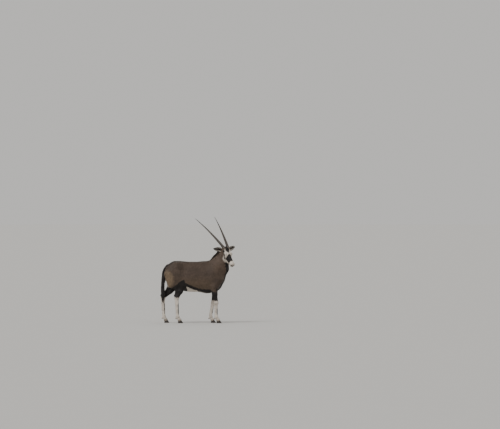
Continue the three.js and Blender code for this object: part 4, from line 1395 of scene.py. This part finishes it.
wet_eye, _, eye_shader = principled("wet_eye", Roughness=0.05, Specular_IOR_Level=0.2)
wet_eye.node_tree.links.new(painted_colour(wet_eye.node_tree), eye_shader.inputs["Base Color"])
rim_material = grown_material("bare_skin", (8.0, 8.0, 8.0), 0.6, 0.38, 0.5, Specular_IOR_Level=0.45)
for word, s in SIDES.items():
    polar = np.radians(np.linspace(0, 180, EYE_STEPS + 1))[1:-1]
    turn = 2 * pi * np.arange(EYE_STEPS) / EYE_STEPS
    u = np.sin(polar)[:, None] * np.cos(turn)
    v = np.sin(polar)[:, None] * np.sin(turn)
    bulge = EYE_RADIUS - 0.6 + 0.8 * ease(np.cos(polar), 0.7, 1.0)
    x, z = eye_turn(u, v)
    direction = np.stack([x, np.broadcast_to(s * np.cos(polar)[:, None], x.shape), z], -1)
    points = EYES[s] + direction * bulge[:, None, None]
    poles = EYES[s] + np.array([(0, s * EYE_RADIUS, 0), (0, -s * EYE_RADIUS, 0)])
    points = from_head_all(np.vstack([points.reshape(-1, 3), poles]))
    faces = walls_between(*u.shape).tolist() + fans_at_ends(*u.shape)
    eye = closed_mesh(f"eye_{word}_ball", points, faces)
    u, v = EYE_RADIUS * u.ravel(), EYE_RADIUS * v.ravel()
    far = np.hypot(u, v)
    around = np.arctan2(v, u)
    fibres = 1 + 0.25 * np.sin(23 * around) * np.sin(9 * around + 1)
    shade = IRIS_COLOUR * fibres[:, None]
    shade = painted(shade, IRIS_EDGE, ease(far, IRIS - 4.5, IRIS))
    shade = painted(shade, PUPIL_COLOUR, ease(1.25 - np.hypot(u / PUPIL[0], v / PUPIL[1]), 0, 0.4))
    shade = painted(shade, EYE_WHITE, ease(far, IRIS, IRIS + 1.5))
    paint(eye.data, np.vstack([shade, EYE_MIDDLE, EYE_WHITE]))
    eye.data.materials.append(wet_eye)
    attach(eye, "root")
    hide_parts(f"eye_{word}")

    upper, lower = lid_line(UPPER_ARCH, LID_STEPS), lid_line(LOWER_ARCH, LID_STEPS)
    u = np.concatenate([upper[0], lower[0][-2:0:-1]])
    v = np.concatenate([upper[1], -lower[1][-2:0:-1]])
    line = np.vstack([on_ball(s, u, v, RIM_AT), on_ball(s, u[:1], v[:1], RIM_AT)])
    centres = from_head_all(line)
    along = unit(np.gradient(centres, axis=0))
    outward = flat_to((line - EYES[s]) @ head_turn.T, along)
    radii = np.full((len(line), 10), 1.7)
    rim = tube_mesh(f"eye_{word}_rim", centres, np.cross(along, outward), outward, radii)
    paint(rim.data, np.tile(RIM_COLOUR, (len(rim.data.vertices), 1)))
    rim.data.materials.append(rim_material)
    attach(rim, "root")

    draw = np.random.default_rng(60 + s)
    share = draw.uniform(0.1, 0.95, LASHES)
    u, v = [np.interp(share, np.linspace(0, 1, LID_STEPS), values) for values in upper]
    at = on_ball(s, u, v, RIM_AT + 1.2)
    up = unit(at - EYES[s])
    way = unit(np.stack([u / 26, np.full(LASHES, 0.9 * s), 0.25 + 0 * u], 1))
    size = np.tile(((15.0,), (1.1,), (-3.0,)), (1, LASHES))
    lashes = leaves_of_hair(
        f"eye_{word}_lashes", from_head_all(at), way @ head_turn.T, (up * (0.3, 0.3, 1)) @ head_turn.T, size,
        np.tile(BLACK, (LASHES, 1)), np.stack([share, draw.random(LASHES)], 1), draw, 0.1,
    )

# Hooves
# Every foot has two claws of dark horn, side by side and flat inside, with growth rings round them, and two small dew
# claws behind the fetlock. The hair of the foot hangs over their tops.
CLAW_GAP = 2.5
GROWTH_RING = 6.5
HOOF_HORN = linear(50, 43, 38)
DEW_CLAW_HORN = linear(44, 38, 34)
hoof_material = grown_material("hoof_horn", (5.0, 5.0, 14.0), 0.8, 0.45, 0.6, Specular_IOR_Level=0.45)
for (kind, leg_side), leg_name in LEG_NAMES.items():
    spots = legs[kind, leg_side][2]
    coronet, fetlock = spots["coronet"], spots["fetlock"]
    for s in (-1, 1):
        word = "outer" if s == leg_side else "inner"
        z = np.concatenate([[0, 1.2, 3.0], np.linspace(5, HOOF_TOP - 3, 30), [HOOF_TOP]])
        up = z / HOOF_TOP
        turns = pi * np.linspace(0, 1, 26)
        growth = 0.5 * np.sin(2 * pi * z / GROWTH_RING) * ease(z, 3, 12) * ease(HOOF_TOP - z, 2, 12)
        closing = 1 - 0.035 * ease(3 - z, 0, 3) - 0.10 * ease(z, HOOF_TOP - 8, HOOF_TOP)
        long = (mix(52, 33, up) * closing + growth)[:, None]
        wide = (mix(40, 29, up) * closing * np.where(z > 0, 1, 0.97) + growth)[:, None]
        toe = np.where(np.cos(turns) > 0, 1.15, 0.85)
        x = coronet[0] + mix(16, 0, up)[:, None] + long * np.cos(turns) * toe
        y = coronet[1] + s * (CLAW_GAP + wide * np.sin(turns).clip(0, 1) ** 0.7)
        ring = np.stack([x, y, np.broadcast_to(z[:, None], x.shape)], -1)
        claw = blade_of_rings(f"{leg_name}_hoof_{word}", ring)
        bands = 1 + 0.3 * np.sin(2 * pi * z / GROWTH_RING + 1) * ease(z, 3, 12) + 0.5 * ease(-z, -9, 0)
        tone = (HOOF_HORN * bands[:, None])[:, None] * np.ones((1, len(turns), 1))
        paint(claw.data, tone.reshape(-1, 3))
        claw.data.materials.append(hoof_material)
        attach(claw, "root")
        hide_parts(f"{leg_name}_claw_{word}")

        t = np.linspace(0, 1, 12)
        axis = np.array((-0.62, 0.1 * s, -0.78))
        turn = 2 * pi * np.arange(16) / 16
        width = 9.5 * np.sqrt(1 - (0.97 * t) ** 2.2)
        middle = np.array((fetlock[0] - 31, fetlock[1] + s * 15, fetlock[2] - 26)) + 21 * t[:, None] * axis
        spokes = np.cos(turn)[:, None] * (0.1 * s, 1, 0) + np.sin(turn)[:, None] * (0.78, 0, -0.62)
        ring = middle[:, None] + width[:, None, None] * spokes
        dew_claw = blade_of_rings(f"{leg_name}_dew_claw_{word}", ring)
        paint(dew_claw.data, np.tile(DEW_CLAW_HORN, (len(dew_claw.data.vertices), 1)))
        dew_claw.data.materials.append(hoof_material)
        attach(dew_claw, "root")

# Mane
# A short dark mane stands along the crest of the neck from the withers to between the ears, leaning back.
MANE = 5200
crest_line = np.array([c for c, _ in CREST], float)


def through(points, t):
    """Places on a smooth line through points, at shares of its length."""
    points = np.array(points, float)
    ends = np.vstack([2 * points[0] - points[1], points, 2 * points[-1] - points[-2]])
    piece = np.clip((t * (len(points) - 1)).astype(int), 0, len(points) - 2)
    u = (t * (len(points) - 1) - piece)[:, None]
    a, b, c, d = [ends[piece + k] for k in range(4)]
    return b + u * ((c - a) / 2 + u * ((a - 2.5 * b + 2 * c - d / 2) + u * ((d - a) / 2 + 1.5 * (b - c))))


def surface_from(p, way, reach=160.0):
    """Where a ray from inside the body leaves its finished skin."""
    low, high = np.zeros(len(p)), np.full(len(p), reach)
    for _ in range(14):
        half = (low + high) / 2
        inside = skin_distance(p + way * half[:, None]) < 0
        low, high = np.where(inside, half, low), np.where(inside, high, half)
    return p + way * low[:, None]


draw = np.random.default_rng(70)
share = np.sort(draw.uniform(0.1, 0.97, MANE))
inner = through(crest_line, share)
along = unit(through(crest_line, share + 0.005) - inner)
left = flat_to(np.tile((0.0, 1.0, 0.0), (MANE, 1)), along)
out = np.cross(along, left)
lean = draw.normal(0, 0.16, MANE).clip(-0.4, 0.4)
ray = unit(out + lean[:, None] * left)
roots = surface_from(inner, ray)
long = 40 * ease(share, 0.05, 0.5) * (1 - 0.35 * np.abs(lean) / 0.4) * draw.uniform(0.75, 1.1, MANE)
size = np.stack([0.42 * long + 6, np.full(MANE, 4.2), 0.85 * long + 3])
tone = painted(np.tile(BROWN_BLACK, (MANE, 1)), NECK_FAWN, 0.5 * ease(np.abs(lean), 0.2, 0.36))
spots = np.stack([share, lean + 0.5], 1)
mane = leaves_of_hair("mane", roots, flat_to(-along, ray), ray, size, tone, spots, draw, 0.3)

# Tail
# A bony dock carries short hair, brown-black like the line on the rump, and its lower two thirds a dense brush of
# long black hair that hangs to below the hocks.
TAIL_BONE = 450
DOCK = [
    (BUTTOCK + 110, 0, 1130),
    (BUTTOCK + 44, -2, 1112),
    (BUTTOCK - 22, -8, 1005),
    (BUTTOCK - 38, -12, 840),
    (BUTTOCK - 34, -12, 1130 - TAIL_BONE),
]
DOCK_SIDES = 28
DOCK_HAIR = 5200
TAIL_LOCKS = 900
BRUSH_FROM = 0.3  # of the dock's length
t = np.linspace(0, 1, 90)
centres = through(DOCK, t)
left, up, along = square_to(centres, (0, 1, 0))
radii = (mix(27, 11, t) * (1 - 0.9 * ease(t, 0.96, 1.0)))[:, None] * np.ones((1, DOCK_SIDES))
dock = tube_mesh("tail_dock", centres, left, up, radii)
tone = painted(np.tile(BROWN_BLACK, (len(t), 1)), BLACK, ease(t, 0.1, 0.4))
paint(dock.data, np.vstack([np.repeat(tone, DOCK_SIDES, axis=0), tone[0], tone[-1]]))
tail_skin = grown_material("tail_skin", (3.0, 7.0, 2.0), 0.6, 0.65, 0.3, Specular_IOR_Level=0.3)
dock.data.materials.append(tail_skin)
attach(dock, "root")
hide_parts("tail")

draw = np.random.default_rng(80)
share, turn = draw.uniform(0.02, 1.0, DOCK_HAIR), draw.uniform(0, 2 * pi, DOCK_HAIR)
middle = through(DOCK, share)
way = unit(through(DOCK, share + 0.005) - middle)
side = flat_to(np.tile((0.0, 1.0, 0.0), (DOCK_HAIR, 1)), way)
out = np.sin(turn)[:, None] * side + np.cos(turn)[:, None] * np.cross(way, side)
size = np.stack([mix(20, 34, share), np.full(DOCK_HAIR, 3.4), mix(4.0, 7.0, share)])
tone = painted(np.tile(BROWN_BLACK, (DOCK_HAIR, 1)), BLACK, ease(share, 0.1, 0.4))
dock_hair = leaves_of_hair(
    "tail_short_hair", middle + out * mix(27, 11, share)[:, None], way, out, size, tone,
    np.stack([share, turn / (2 * pi)], 1), draw,
)

stations = 9
share = np.sort(draw.uniform(BRUSH_FROM, 0.99, TAIL_LOCKS))
down = (share - BRUSH_FROM) / 0.69
turn = draw.uniform(0, 2 * pi, TAIL_LOCKS)
root = through(DOCK, share)
out = np.stack([np.cos(turn), np.sin(turn), 0 * turn], 1)
long = mix(250, 330, down) * draw.uniform(0.86, 1.06, TAIL_LOCKS)
puff = (mix(24, 34, down) * draw.uniform(0.35, 1.12, TAIL_LOCKS))[:, None]
fall = np.stack([0 * long, 0 * long, -long], 1)
stray = draw.uniform(-1, 1, (TAIL_LOCKS, 3)) * (14, 14, 0)
knots = [
    root + 6 * out,
    root + puff * out + 0.25 * fall,
    root + 0.95 * puff * out + 0.62 * fall,
    root + 10 * out + stray + fall,
]
u = np.linspace(0, 1, stations)
line = np.stack([through([k[i] for k in knots], u) for i in range(TAIL_LOCKS)])
wide = (mix(4.5, 8.5, np.sin(pi * u.clip(0, 0.5))) * ease(1 - u, -0.06, 0.62))[None, :, None]
across = np.stack([-np.sin(turn), np.cos(turn), 0 * turn], 1)[:, None]
sections = [line + across * wide / 2, line - across * wide / 2, line + out[:, None] * (0.3 * wide)]
points = np.stack(sections, 2)
of_lock = 3 * stations * np.arange(TAIL_LOCKS)[:, None, None]
walls = (walls_between(stations, 3) + of_lock).reshape(-1, 4)
brush = mesh_object("tail_brush", into_world(points.reshape(-1, 3)), walls)
tone = np.tile(BLACK, (TAIL_LOCKS, 1)) * draw.uniform(0.7, 1.5, (TAIL_LOCKS, 1))
paint(brush.data, np.repeat(tone, 3 * stations, axis=0))
spots = np.stack([share, turn / (2 * pi)], 1) * 0.99 + 0.005
patch = np.stack(np.meshgrid(u - 0.5, (-0.5, 0.0, 0.5), indexing="ij"), -1).reshape(-1, 2) * 0.003
uv = (spots[:, None] + patch).reshape(-1, 2)
brush.data.uv_layers.new(name="OFBake").uv.foreach_set("vector", uv[walls.ravel()].ravel())
brush.data.materials.append(hair_material)
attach(brush, "root")

low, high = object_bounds()
